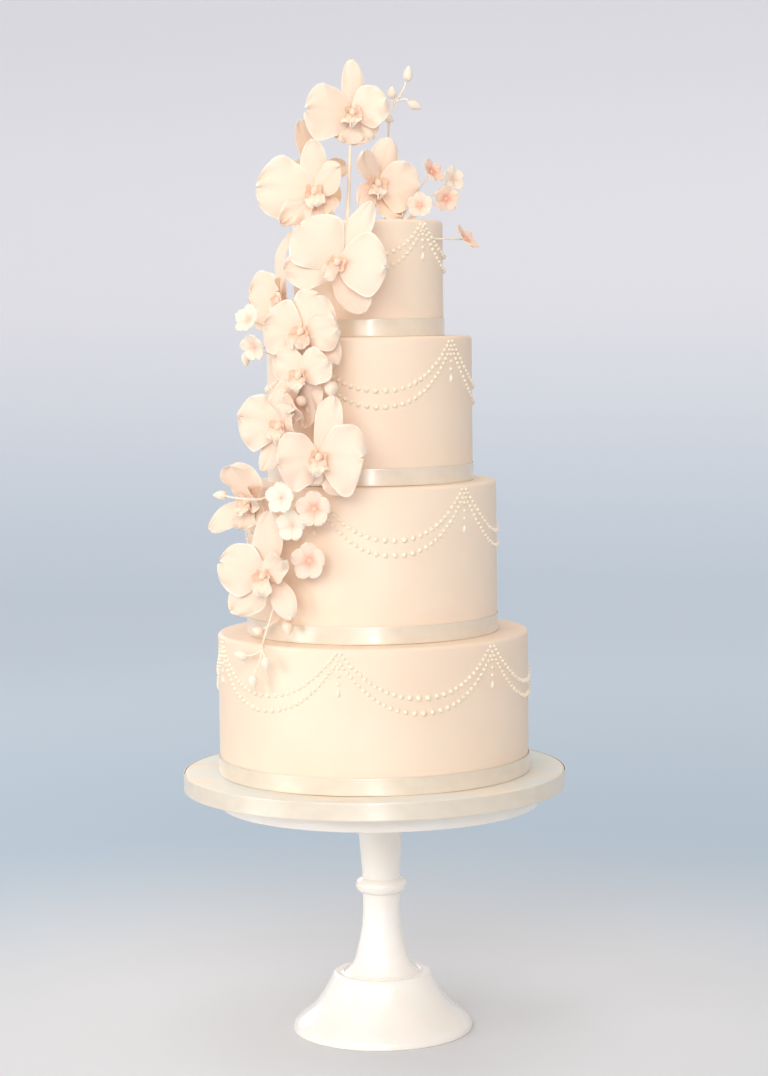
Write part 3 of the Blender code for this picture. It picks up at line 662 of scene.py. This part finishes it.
PHOTO_HEIGHT = 1076
FOCAL_PIXELS = 2578.0
SENSOR = 36.0
CAMERA_DISTANCE = 2.392
CAMERA_HEIGHT = 0.668
HORIZON_ABOVE_MIDDLE = 220.0
CAMERA_YAW = math.radians(0.275)
CAMERA_ROLL = math.radians(0.726)


def build_camera():
    """The photograph's view: from the front, level with the upper tiers, a hair askew."""
    data = bpy.data.cameras.new("camera")
    data.sensor_fit = "VERTICAL"
    data.sensor_height = SENSOR
    data.sensor_width = SENSOR
    data.lens = FOCAL_PIXELS * SENSOR / PHOTO_HEIGHT
    camera = add_object("camera", data)
    pitch = math.atan(HORIZON_ABOVE_MIDDLE / FOCAL_PIXELS)
    turn = Matrix.Rotation(-CAMERA_YAW, 4, "Z") @ Matrix.Rotation(math.pi / 2 - pitch, 4, "X")
    turn = turn @ Matrix.Rotation(-CAMERA_ROLL, 4, "Z")
    camera.matrix_world = Matrix.Translation((0, -CAMERA_DISTANCE, CAMERA_HEIGHT)) @ turn
    bpy.context.scene.camera = camera


MIDDLE = (0, 0, 0.5)  # metres; about half way up the cake

# Each lamp: name, place and aim (m), width and height (m), watts, colour, spread of its beam (degrees),
# and whether it shows in gloss alone
LAMPS = (
    ("key", (-0.5, -2.8, 1.9), (0, 0, 1.2), (3.4, 1.8), 27.5, (1.0, 0.985, 0.955), 110, False),
    ("strip", (0.05, -2.9, 0.4), (0, 0, 0.3), (0.2, 1.2), 12, (1.0, 0.99, 0.98), 180, True),
    ("low", (-0.5, -2.3, 0.3), (0, 0, 0.12), (0.6, 0.4), 2.2, (1.0, 0.96, 0.93), 180, False),
    ("side", (-2.4, -1.0, 0.7), MIDDLE, (1.2, 1.6), 7.4, (1.0, 0.99, 0.97), 110, False),
    ("fill", (2.3, -1.2, 0.9), MIDDLE, (1.6, 1.6), 1.2, (1.0, 0.97, 0.92), 180, False),
    ("back", (-1.2, 2.6, 1.4), MIDDLE, (1.6, 1.6), 3, (1.0, 0.99, 0.98), 80, False),
    ("top", (-0.2, 0.1, 2.6), MIDDLE, (1.6, 1.6), 12, (1.0, 0.98, 0.96), 180, False),
)
WORLD_COLOUR = (1.0, 0.975, 0.955, 1.0)
WORLD_STRENGTH = 0.44


def add_light(name, place, target, size, power, colour, spread, gloss_only):
    data = bpy.data.lights.new(name, "AREA")
    data.shape = "RECTANGLE"
    data.size, data.size_y = size
    data.energy = power
    data.spread = math.radians(spread)
    data.color = colour
    lamp = add_object(name, data)
    lamp.location = place
    aim = Vector(target) - Vector(place)
    lamp.rotation_euler = aim.to_track_quat("-Z", "Y").to_euler()
    lamp.visible_diffuse = not gloss_only


def build_light():
    for lamp in LAMPS:
        add_light(*lamp)
    world = bpy.data.worlds.new("studio")
    world.use_nodes = True
    fill(world.node_tree.nodes["Background"], {"Color": WORLD_COLOUR, "Strength": WORLD_STRENGTH})
    bpy.context.scene.world = world
    bpy.context.scene.view_settings.view_transform = "Standard"


def build_floor():
    """A pale round floor that sweeps up into a wall far behind every view, both in metres.

    Its colour and its faint glow change with the distance from the middle and the height.
    """
    radius, bend, wall_height = 5.2, 1.2, 4.0
    profile = [(0.0, 0.0), (1.0, 0.0), (2.5, 0.0)]
    profile += arc((radius - bend, bend), bend, -90, 0, 12)
    profile.append((radius, wall_height))
    shape = Shape()
    points, faces, spread = revolve(np.array(profile) / MM, 64)
    shape.add(points, [tuple(reversed(face)) for face in faces], spread)
    made = Surface("studio_floor", roughness=0.8)
    fill(made.shader, {"Specular IOR Level": 0.0, "Emission Color": FLOOR_GLOW})
    place = made.place()
    split = made.node("ShaderNodeSeparateXYZ")
    made.link(place, split.inputs["Vector"])
    length = made.node("ShaderNodeVectorMath", operation="LENGTH")
    made.link(place, length.inputs[0])
    distance, height = length.outputs["Value"], split.outputs["Z"]
    floor_colour = made.mix(made.spread(distance, 0.25, 1.0), FLOOR_NEAR, FLOOR_FAR)
    made.colour(made.mix(made.spread(height, -0.1, 0.9), floor_colour, WALL_TOP))
    glow = made.spread(distance, 0.6, 2.6, 0.0, 0.18)
    glow = made.math("ADD", glow, made.spread(height, -0.1, 0.8, 0.0, 0.135))
    glow = made.math("SUBTRACT", glow, made.spread(height, 0.9, 1.6, 0.0, 0.05))
    made.link(glow, made.shader.inputs["Emission Strength"])
    floor = shape.piece("floor", [made.material])


# Stand and board

def rounded(profile):
    """A smooth curve through profile points, for glass that was pressed in a mould."""
    return [tuple(point) for point in smooth_chain(profile, 6)]


def stand_profile():
    """Outline from the plate's middle, over its rim, down the column and the bell foot to its recess."""
    plate_radius = node_radius("stand")
    top = node_size("stand")[1][2]
    foot_radius = 84.6
    underside = 215.8
    collar, collar_outer, collar_tube = 136.9, 24.0, 7.1
    outline = [(0.0, top), (plate_radius - 12.0, top)]
    outline += arc((plate_radius - 1.6, top - 1.6), 1.6, 90, 0, 5)
    outline += [(plate_radius - 0.6, top - 8.0)]
    outline += arc((plate_radius - 3.6, underside + 1.6), 1.6, -10, -90, 5)
    outline += [(plate_radius - 6.0, underside)]
    outline += arc((plate_radius - 7.0, underside + 3.0), 2.4, -90, -170, 4)
    outline += [(plate_radius - 12.0, underside + 6.4), (plate_radius - 60.0, underside + 4.6)]
    outline += rounded([
        (34.0, underside + 2.0), (24.0, 209.0), (21.4, 198.0), (20.0, 177.7), (17.8, 149.3),
    ])
    outline += arc((collar_outer - collar_tube, collar), collar_tube, 80, -80, 12)
    outline += rounded([
        (17.4, 127.0), (17.4, 116.0), (18.5, 98.7), (21.7, 81.5), (26.5, 64.8), (32.5, 56.5),
        (35.5, 54.2),
    ])
    outline += arc((36.8, 54.0), 1.4, 170, 20, 5)
    outline += rounded([
        (39.0, 54.2), (44.0, 54.4), (46.3, 52.4), (48.5, 48.0), (55.9, 34.7), (64.6, 22.7), (79.0, 10.8),
    ])
    outline += rounded([(81.5, 8.4), (83.8, 5.0), (foot_radius, 2.0)])
    outline += arc((foot_radius - 1.2, 1.2), 1.2, 0, -90, 4)
    outline += [(foot_radius - 8.0, 0.0), (foot_radius - 11.0, 3.0), (0.0, 3.0)]
    return outline


def build_stand():
    shape = Shape()
    points, faces, spread = revolve(stand_profile(), ROUND_STEPS)
    points = points + np.array([STAND_X, 0.0, 0.0])
    shape.add(points, faces, spread)
    settle(shape.piece("glass_stand", [MATERIALS["milk_glass"]]), "milk_glass", "stand")


WALL_UNEVENNESS = 0.16  # millimetres, as for the top
TOP_UNEVENNESS = 0.15


def iced_disc(name, icing, radius, bottom, top, rounding, seed, node):
    """A smooth iced drum whose wall and top are a little uneven, as hand-smoothed icing is."""
    shoulder = top - rounding
    profile = [(share * radius, top) for share in (0.0, 0.3, 0.6, 0.85)]
    profile += arc((radius - rounding, shoulder), rounding, 90, 0, 8)
    profile += [(radius, shoulder - (shoulder - bottom) * share) for share in np.linspace(0.05, 1, 24)]
    profile += [(0.5 * radius, bottom), (0.0, bottom)]
    shape = Shape()
    points, faces, spread = revolve(profile, ROUND_STEPS)
    around, height = np.arctan2(points[..., 0], -points[..., 1]), points[..., 2]
    reach = np.hypot(points[..., 0], points[..., 1])
    wave = ripple(np.sin(around) * 3 + np.cos(around) * 2, height / 40, seed, 1.4)
    inward = WALL_UNEVENNESS * wave - WALL_UNEVENNESS
    scale = 1 + np.where(reach > 1.0, inward / np.maximum(reach, 1.0), 0.0)
    points[..., 0] *= scale
    points[..., 1] *= scale
    on_top = (height > top - 0.5) & (reach < radius - rounding)
    dips = TOP_UNEVENNESS * (1 + ripple(points[..., 0] / 18, points[..., 1] / 18, seed + 7))
    points[..., 2] -= np.where(on_top, dips, 0.0)
    shape.add(points, faces, spread)
    settle(shape.piece(name, [MATERIALS[icing]]), "fondant", node)


def build_ribbon(name, radius, bottom, seed, node):
    """A satin ribbon round a wall, thicker at its woven edges and faintly wavy."""
    height = RIBBON_HEIGHT
    section = [
        (0.0, -0.25), (0.42, -0.2), (0.55, 0.3), (0.5, 1.2), (0.5, height / 2),
        (0.5, height - 1.2), (0.55, height - 0.5), (0.42, height - 0.05), (0.0, height),
    ]
    profile = [(radius + GAP + out, bottom + up) for out, up in reversed(section)]
    profile.append(profile[0])
    points, faces, _ = revolve(profile, 2 * ROUND_STEPS)
    around = np.arctan2(points[..., 0], -points[..., 1])
    reach = np.hypot(points[..., 0], points[..., 1])
    wave = 0.05 * ripple(np.sin(around) * 9, np.cos(around) * 9, seed, 2.0)
    scale = 1 + np.where(reach > radius + GAP + 0.2, wave / reach, 0.0)
    points[..., 0] *= scale
    points[..., 1] *= scale
    coordinates = grid_of(around / TURN * radius / 100, (points[..., 2] - bottom) / height)
    shape = Shape()
    shape.add(points, faces, coordinates)
    settle(shape.piece(name, [MATERIALS["satin"]]), "satin", node)


# Piped swags

def dome():
    """A round dot of unit radius with a faint peak where the piping tube left it."""
    rings, sides = 5, 12
    profile = [(0.0, 1.06)] + arc((0.0, 0.0), 1.0, 78, -35, rings - 1)
    angles = np.arange(sides) * TURN / sides
    points = [(0.0, 0.0, profile[0][1])]
    for radius, height in profile[1:]:
        points += [(radius * math.cos(a), radius * math.sin(a), height) for a in angles]
    faces = [(0, 1 + step, 1 + (step + 1) % sides) for step in range(sides)]
    for ring in range(len(profile) - 2):
        base = 1 + ring * sides
        for step in range(sides):
            following = (step + 1) % sides
            faces.append((base + step, base + sides + step, base + sides + following))
            faces.append((base + step, base + sides + following, base + following))
    base = 1 + (len(profile) - 2) * sides
    faces += [(len(points), base + (step + 1) % sides, base + step) for step in range(sides)]
    points.append((0.0, 0.0, profile[-1][1]))
    return np.array(points), np.array(faces)


def dot_spacing(where):
    """Millimetres between dots, from a swag's middle (zero) to its ends (one)."""
    return 5.6 + 3.2 * np.exp(-(where / 0.33) ** 2) - 1.4 * where ** 8


def dot_radius(where):
    """Dots grow towards a swag's middle."""
    return DOT_RADIUS_AT_PEAK + 0.6 * (1 - where ** 2) + 0.6 * np.exp(-(where / 0.2) ** 2)


def swag_row(start, depth, half_span, inset):
    """(share of the half span, drop) of each dot in one row, from one peak to the next."""
    fine = np.linspace(-1 + inset / half_span, 1 - inset / half_span, 600)
    drop = start + (depth - start) * (1 - np.abs(fine) ** SWAG_CURVE)
    steps = np.hypot(np.diff(fine) * half_span, np.diff(drop)) / dot_spacing(np.abs(fine[1:]))
    run = np.concatenate([[0], np.cumsum(steps)])
    count = int(round(run[-1]))
    places = np.interp(run[-1] * np.arange(count + 1) / count, run, fine)
    return places, np.interp(places, fine, drop)


def swag_dots(tier):
    """(azimuth, drop, half width, half height) of every piped dot of one tier."""
    draws = np.random.default_rng(100 + tier)
    span = 360.0 / SWAG_COUNTS[tier]
    half_span = math.radians(span / 2) * TIER_RADII[tier]
    rows = (
        (SWAG_UPPER_STARTS[tier], SWAG_UPPER_DROPS[tier], SWAG_PAIR_SPACING),
        (SWAG_LOWER_STARTS[tier], SWAG_LOWER_DROPS[tier], 0.0),
    )
    dots = []
    for swag in range(SWAG_COUNTS[tier]):
        peak = SWAG_PEAK_AZIMUTHS[tier] + span * swag
        for start, depth, inset in rows:
            places, drops = swag_row(start, depth, half_span, inset)
            kept = len(places) if inset else len(places) - 1
            for where, drop in zip(places[:kept], drops):
                size = dot_radius(abs(where)) * draws.uniform(0.92, 1.08)
                azimuth = peak + span * (where + 1) / 2 + draws.uniform(-0.1, 0.1)
                dots.append((azimuth, drop + draws.uniform(-0.15, 0.15), size, size))
        for drop in PENDANT_DROPS[tier]:
            size = DOT_RADIUS_AT_PEAK * draws.uniform(1.0, 1.15)
            dots.append((peak, drop, size, size))
        dots.append((peak, TEARDROP_DROPS[tier], TEARDROP_RADIUS, TEARDROP_HALF_LENGTH))
    return dots


def build_swags(tier):
    shape = Shape()
    unit, faces = dome()
    for azimuth, drop, half_width, half_height in swag_dots(tier):
        points = unit.copy()
        if half_height > half_width:
            points[:, 0] *= 1 - 0.35 * points[:, 1]
        points = points * np.array([half_width, half_height, half_width])
        angle = math.radians(azimuth)
        reach = TIER_RADII[tier] + points[:, 2] - DOT_SINK
        sideways = points[:, 0]
        place = np.stack([
            reach * math.sin(angle) + sideways * math.cos(angle),
            -reach * math.cos(angle) + sideways * math.sin(angle),
            tier_top(tier) - drop + points[:, 1],
        ], axis=1)
        shape.add(place, faces, unit[:, :2])
    settle(shape.piece(f"swags_{tier}", [MATERIALS["pearl"]]), "sugar", f"tier_{tier}")


# Flowers

def facing_matrix(centre, facing):
    """Places a flower modelled facing +Z, its top towards +Y, in millimetres."""
    azimuth, elevation = (math.radians(angle) for angle in facing)
    outward = Vector((
        math.sin(azimuth) * math.cos(elevation),
        -math.cos(azimuth) * math.cos(elevation),
        math.sin(elevation),
    ))
    upward = (Vector((0, 0, 1)) - outward * outward.z).normalized()
    sideways = upward.cross(outward)
    matrix = Matrix((sideways, upward, outward)).transposed().to_4x4()
    return Matrix.Translation(Vector(centre)) @ matrix


def petal_matrix(direction, lean):
    return Matrix.Rotation(math.radians(direction), 4, "Z") @ Matrix.Rotation(-math.radians(lean), 4, "Y")


PETAL_START = 2.0  # millimetres from the flower's middle


def petal_surface(kind, length, half_width, bend, bow, seed):
    """A petal that lies along +X and faces +Z: its points, thickness, and places along and across it."""
    rows, columns = 28, 23
    draws = np.random.default_rng(seed)
    share = (1 - np.cos(np.linspace(0.0, math.pi, rows))) / 2
    along = (PETAL_START / length + (0.995 - PETAL_START / length) * share)[:, None]
    across = np.sin(np.linspace(-math.pi / 2, math.pi / 2, columns))[None, :]
    across = 0.5 * across + 0.5 * np.linspace(-1, 1, columns)[None, :]
    outline = half_width * np.sin(math.pi * along ** kind["widest"]) ** kind["full"]
    outline = np.maximum(outline, 1.6 * (1 - along))
    phase = draws.uniform(0, TURN, 3)
    outward = (along - 0.35) / 0.65
    around = np.arctan2(across, outward)
    rim = np.clip(np.hypot(across, outward), 0, 1) ** 3.2 * np.minimum(1, 2.5 * along)
    count = draws.uniform(*kind["waves"])
    waves = np.sin(count * around + phase[0] + 0.9 * np.sin(2 * around + phase[1]))
    waves = waves + 0.3 * np.sin(2.4 * count * around + phase[2]) * rim
    ruffle = kind["ruffle"] * draws.uniform(0.75, 1.2)
    sway = kind["sway"] * np.sin(math.pi * 1.4 * along + phase[2]) * along
    twist = draws.uniform(-0.14, 0.14) * half_width * across * along
    outline = outline * (1 + 0.07 * np.sin(count * around + phase[2]) * rim)
    cup = -0.10 * half_width * across ** 2 * along
    crease = -np.exp(-(across / 0.07) ** 2) * along * (1.3 - along) * kind["crease"]
    uneven = 0.8 * ripple(along * 5, across * 3, seed + 11, 1.0) * along
    bowed = bend * along ** 2 + bow * np.sin(math.pi * along)
    lift = bowed + cup + ruffle * waves * rim + crease + uneven + twist
    notch = kind["notch"] * np.exp(-(across / 0.16) ** 2) * along ** 10
    grid = grid_of(length * along - notch, outline * across + sway, lift)
    thickness = (0.5 + 0.8 * (1 - along) ** 1.5) * (1 - 0.45 * np.abs(across) ** 3)
    return grid, thickness, along, across


def add_sheet(shape, place, grid, thickness, along, across, tint, slot):
    """A thin solid about a grid, whose surface coordinates run along and across it on both sides."""
    points, faces = sheet_solid(grid, thickness)
    one_side = grid_of(along, across).reshape(-1, 2)
    shape.add(moved(points, place), faces, np.concatenate([one_side] * 2), tint, slot)


def add_petal(shape, place, petal, layer, seed, tint, slot):
    kind, direction, length, half_width, lean, bend, *bows = petal
    surface = petal_surface(kind, length, half_width, bend, sum(bows), seed)
    matrix = place @ Matrix.Translation((0, 0, layer)) @ petal_matrix(direction, lean)
    add_sheet(shape, matrix, *surface, tint, slot)


def add_throat(shape, place, seed, slot):
    """The frilled cup of the lip's side lobes, open at the top, round the column."""
    height = np.linspace(0, 1, 12)[:, None]
    around = np.radians(np.linspace(-155, 155, 33))[None, :]
    flare = 3.0 + 5.2 * height ** 1.3
    reach = flare + 1.1 * np.sin(5.5 * around + seed) * height ** 3
    lobes = 7.5 * height * (0.72 + 0.28 * np.abs(np.sin(around)))
    rise = 1.0 + lobes + 0.5 * np.sin(4 * around + 2 * seed) * height ** 3
    grid = grid_of(reach * np.sin(around), -reach * np.cos(around) - 0.5, rise)
    add_sheet(shape, place, grid, 0.8 - 0.4 * height, 1 - height, around / math.pi, 0.15, slot)


def add_ball(shape, place, radii, tint, slot, sides=18, rings=10):
    """An egg-shaped lump, closed at both ends."""
    angles = np.radians(np.linspace(-90, 90, rings + 1))[:, None]
    turn = np.arange(sides) * TURN / sides
    points = grid_of(
        radii[0] * np.cos(angles) * np.cos(turn),
        radii[1] * np.cos(angles) * np.sin(turn),
        radii[2] * np.sin(angles),
    )
    coordinates = grid_of(0.5 - 0.5 * np.sin(angles), turn / TURN)
    shape.add(moved(points, place), grid_faces(rings + 1, sides, closed=True), coordinates, tint, slot)


def stem_target(foot, centre):
    """Where a stem meets the cake, behind its flower, and the outward direction of the surface there."""
    surface, tier, *spot = foot
    if surface == "top":
        return np.array([*spot, tier_top(tier)]), np.array([0.0, 0.0, 1.0])
    height = min(centre[2], tier_top(tier) - 3 * TIER_EDGE_ROUNDING)
    height = max(height, tier_bottom(tier) + RIBBON_HEIGHT + 2 * TIER_EDGE_ROUNDING)
    sideways = min(max(centre[0] / TIER_RADII[tier], -STEM_SIDE_LIMIT), STEM_SIDE_LIMIT)
    outward = np.array([sideways, -math.sqrt(1 - sideways ** 2), 0.0])
    return outward * TIER_RADII[tier] + np.array([0, 0, height]), outward


def add_stem(shape, centre, foot, radius, slot):
    """A stem from just inside the flower to the icing, bowed a little."""
    centre = np.asarray(centre, float)
    target, outward = stem_target(foot, centre)
    start = target + outward * (GAP + 0.4 * radius)
    middle = (start + centre) / 2 + outward * 0.04 * np.linalg.norm(centre - start)
    path = smooth_chain([start, middle, centre], 8)
    radii = np.linspace(radius, 0.75 * radius, len(path))
    add_tube(shape, path, radii, slot)


def build_orchid(number, design):
    """An orchid: three sepals, two round petals, the lip with its frilled throat, a column and a stem."""
    centre, facing, foot, bead, tints, *petals = design
    materials = [MATERIALS[name] for name in ("petal", "lip", "wire")]
    petal_slot, lip_slot, wire_slot = range(3)
    shape = Shape()
    place = facing_matrix(centre, facing)
    draws = np.random.default_rng(500 + number)
    for index, (name, petal) in enumerate(zip(LAYER_HEIGHTS, petals)):
        slot = lip_slot if name == "lip" else petal_slot
        tint = tints.get(name, draws.uniform(0.0, 0.15))
        add_petal(shape, place, petal, LAYER_HEIGHTS[name], 1000 * number + index, tint, slot)
    add_throat(shape, place @ Matrix.Translation((0, 0, 2.0)), number, lip_slot)
    lean_down = Matrix.Rotation(math.radians(35), 4, "X")
    column = place @ Matrix.Translation((0, 1.0, 6.5)) @ lean_down
    add_ball(shape, column, (3.4, 3.4, 5.0), 0.0, petal_slot)
    add_ball(shape, place @ Matrix.Translation((0, 0, -0.5)), (4.0, 4.0, 3.0), 0.3, petal_slot)
    add_stem(shape, centre, foot, STEM_RADIUS, wire_slot)
    if bead:
        add_ball(shape, place @ Matrix.Translation(bead), (BEAD_RADIUS,) * 3, 0.0, petal_slot)
    settle(shape.piece(f"sugar_orchid_{number:02d}", materials), "sugar", f"orchid_{number:02d}")


def build_blossom(number, design):
    """A small blossom: five overlapping cupped petals round a button, on a thin stem."""
    centre, facing, radius, foot, pink = design
    shape = Shape()
    place = facing_matrix(centre, facing)
    share = np.linspace(0, 1, 14)[:, None]
    along = 0.06 + 0.93 * (1 - (1 - share) ** 1.4)
    across = np.linspace(-1, 1, 11)[None, :]
    outline = 0.46 * radius * np.sin(math.pi * along ** 1.6) ** 0.62
    notch = 0.07 * radius * np.exp(-(across / 0.25) ** 2) * along ** 8
    thickness = 0.55 + 0.3 * (1 - along)
    for index in range(5):
        draws = np.random.default_rng(7000 + 50 * number + index)
        lift = 0.34 * radius * along ** 1.2 - 0.05 * radius * across ** 2 * along
        lift = lift + 0.05 * radius * np.sin(5 * across + draws.uniform(0, TURN)) * along ** 4
        grid = grid_of(radius * along - notch, outline * across, lift + 0.35 * across)
        matrix = place @ petal_matrix(90 + 72 * index, 0)
        add_sheet(shape, matrix, grid, thickness, along, across, 0.85 * pink, 0)
    button = (0.13 * radius, 0.13 * radius, 1.2)
    add_ball(shape, place @ Matrix.Translation((0, 0, 0.6)), button, 0.2, 0, sides=14, rings=8)
    add_stem(shape, centre, foot, WIRE_RADIUS, 1)
    piece = shape.piece(f"sugar_blossom_{number:02d}", [MATERIALS["blossom"], MATERIALS["wire"]])
    settle(piece, "blush_sugar", f"blossom_{number:02d}")


def add_bud(shape, centre, direction, length, radius, slot):
    """A bud: round at its base, pointed at its tip, with the faint seams of its three sepals."""
    rings, sides = 18, 24
    share = np.linspace(0, 1, rings + 1)[:, None]
    turn = (np.arange(sides) * TURN / sides)[None, :]
    outline = radius * np.sin(math.pi * share ** 0.8) ** 0.75 * (1 - 0.25 * share)
    from_seam = np.mod(turn + share, TURN / 3) - TURN / 6
    seam = 1 - 0.07 * np.exp(-(from_seam / 0.16) ** 2) * np.sin(math.pi * share)
    reach = outline * seam
    points = grid_of(reach * np.cos(turn), reach * np.sin(turn), length * (share - 0.5))
    coordinates = grid_of(share, turn / TURN)
    aim = Vector(direction).to_track_quat("Z", "Y").to_matrix().to_4x4()
    matrix = Matrix.Translation(Vector(centre)) @ aim
    shape.add(moved(points, matrix), grid_faces(rings + 1, sides, closed=True), coordinates, 0.0, slot)


def build_spray(name, buds, wires):
    shape = Shape()
    for centre, direction, length, radius in buds:
        add_bud(shape, centre, direction, length, radius, 0)
    for chain in wires:
        add_tube(shape, smooth_chain(chain, 6), WIRE_RADIUS, 1)
    settle(shape.piece(f"sugar_{name}", [MATERIALS["bud"], MATERIALS["wire"]]), "sugar", name)


def build_cake():
    build_stand()
    low, high = node_size("board")
    iced_disc("iced_board", "board_icing", BOARD_RADIUS, low[2], high[2], BOARD_EDGE_ROUNDING, 3, "board")
    build_ribbon("board_edge_ribbon", BOARD_RADIUS, low[2], 11, "board_ribbon")
    for tier in TIERS:
        radius, bottom, top = TIER_RADII[tier], tier_bottom(tier), tier_top(tier)
        name, node = f"iced_tier_{tier}", f"tier_{tier}"
        iced_disc(name, "fondant", radius, bottom, top, TIER_EDGE_ROUNDING, 20 + tier, node)
        build_ribbon(f"satin_ribbon_{tier}", radius, bottom, 30 + tier, f"ribbon_{tier}")
        build_swags(tier)


build_camera()
build_light()
build_floor()
build_cake()
for orchid_number, orchid in enumerate(ORCHIDS, start=1):
    build_orchid(orchid_number, orchid)
for blossom_number, blossom in enumerate(BLOSSOMS, start=1):
    build_blossom(blossom_number, blossom)
for spray_name, (spray_buds, spray_wires) in SPRAYS.items():
    build_spray(spray_name, spray_buds, spray_wires)
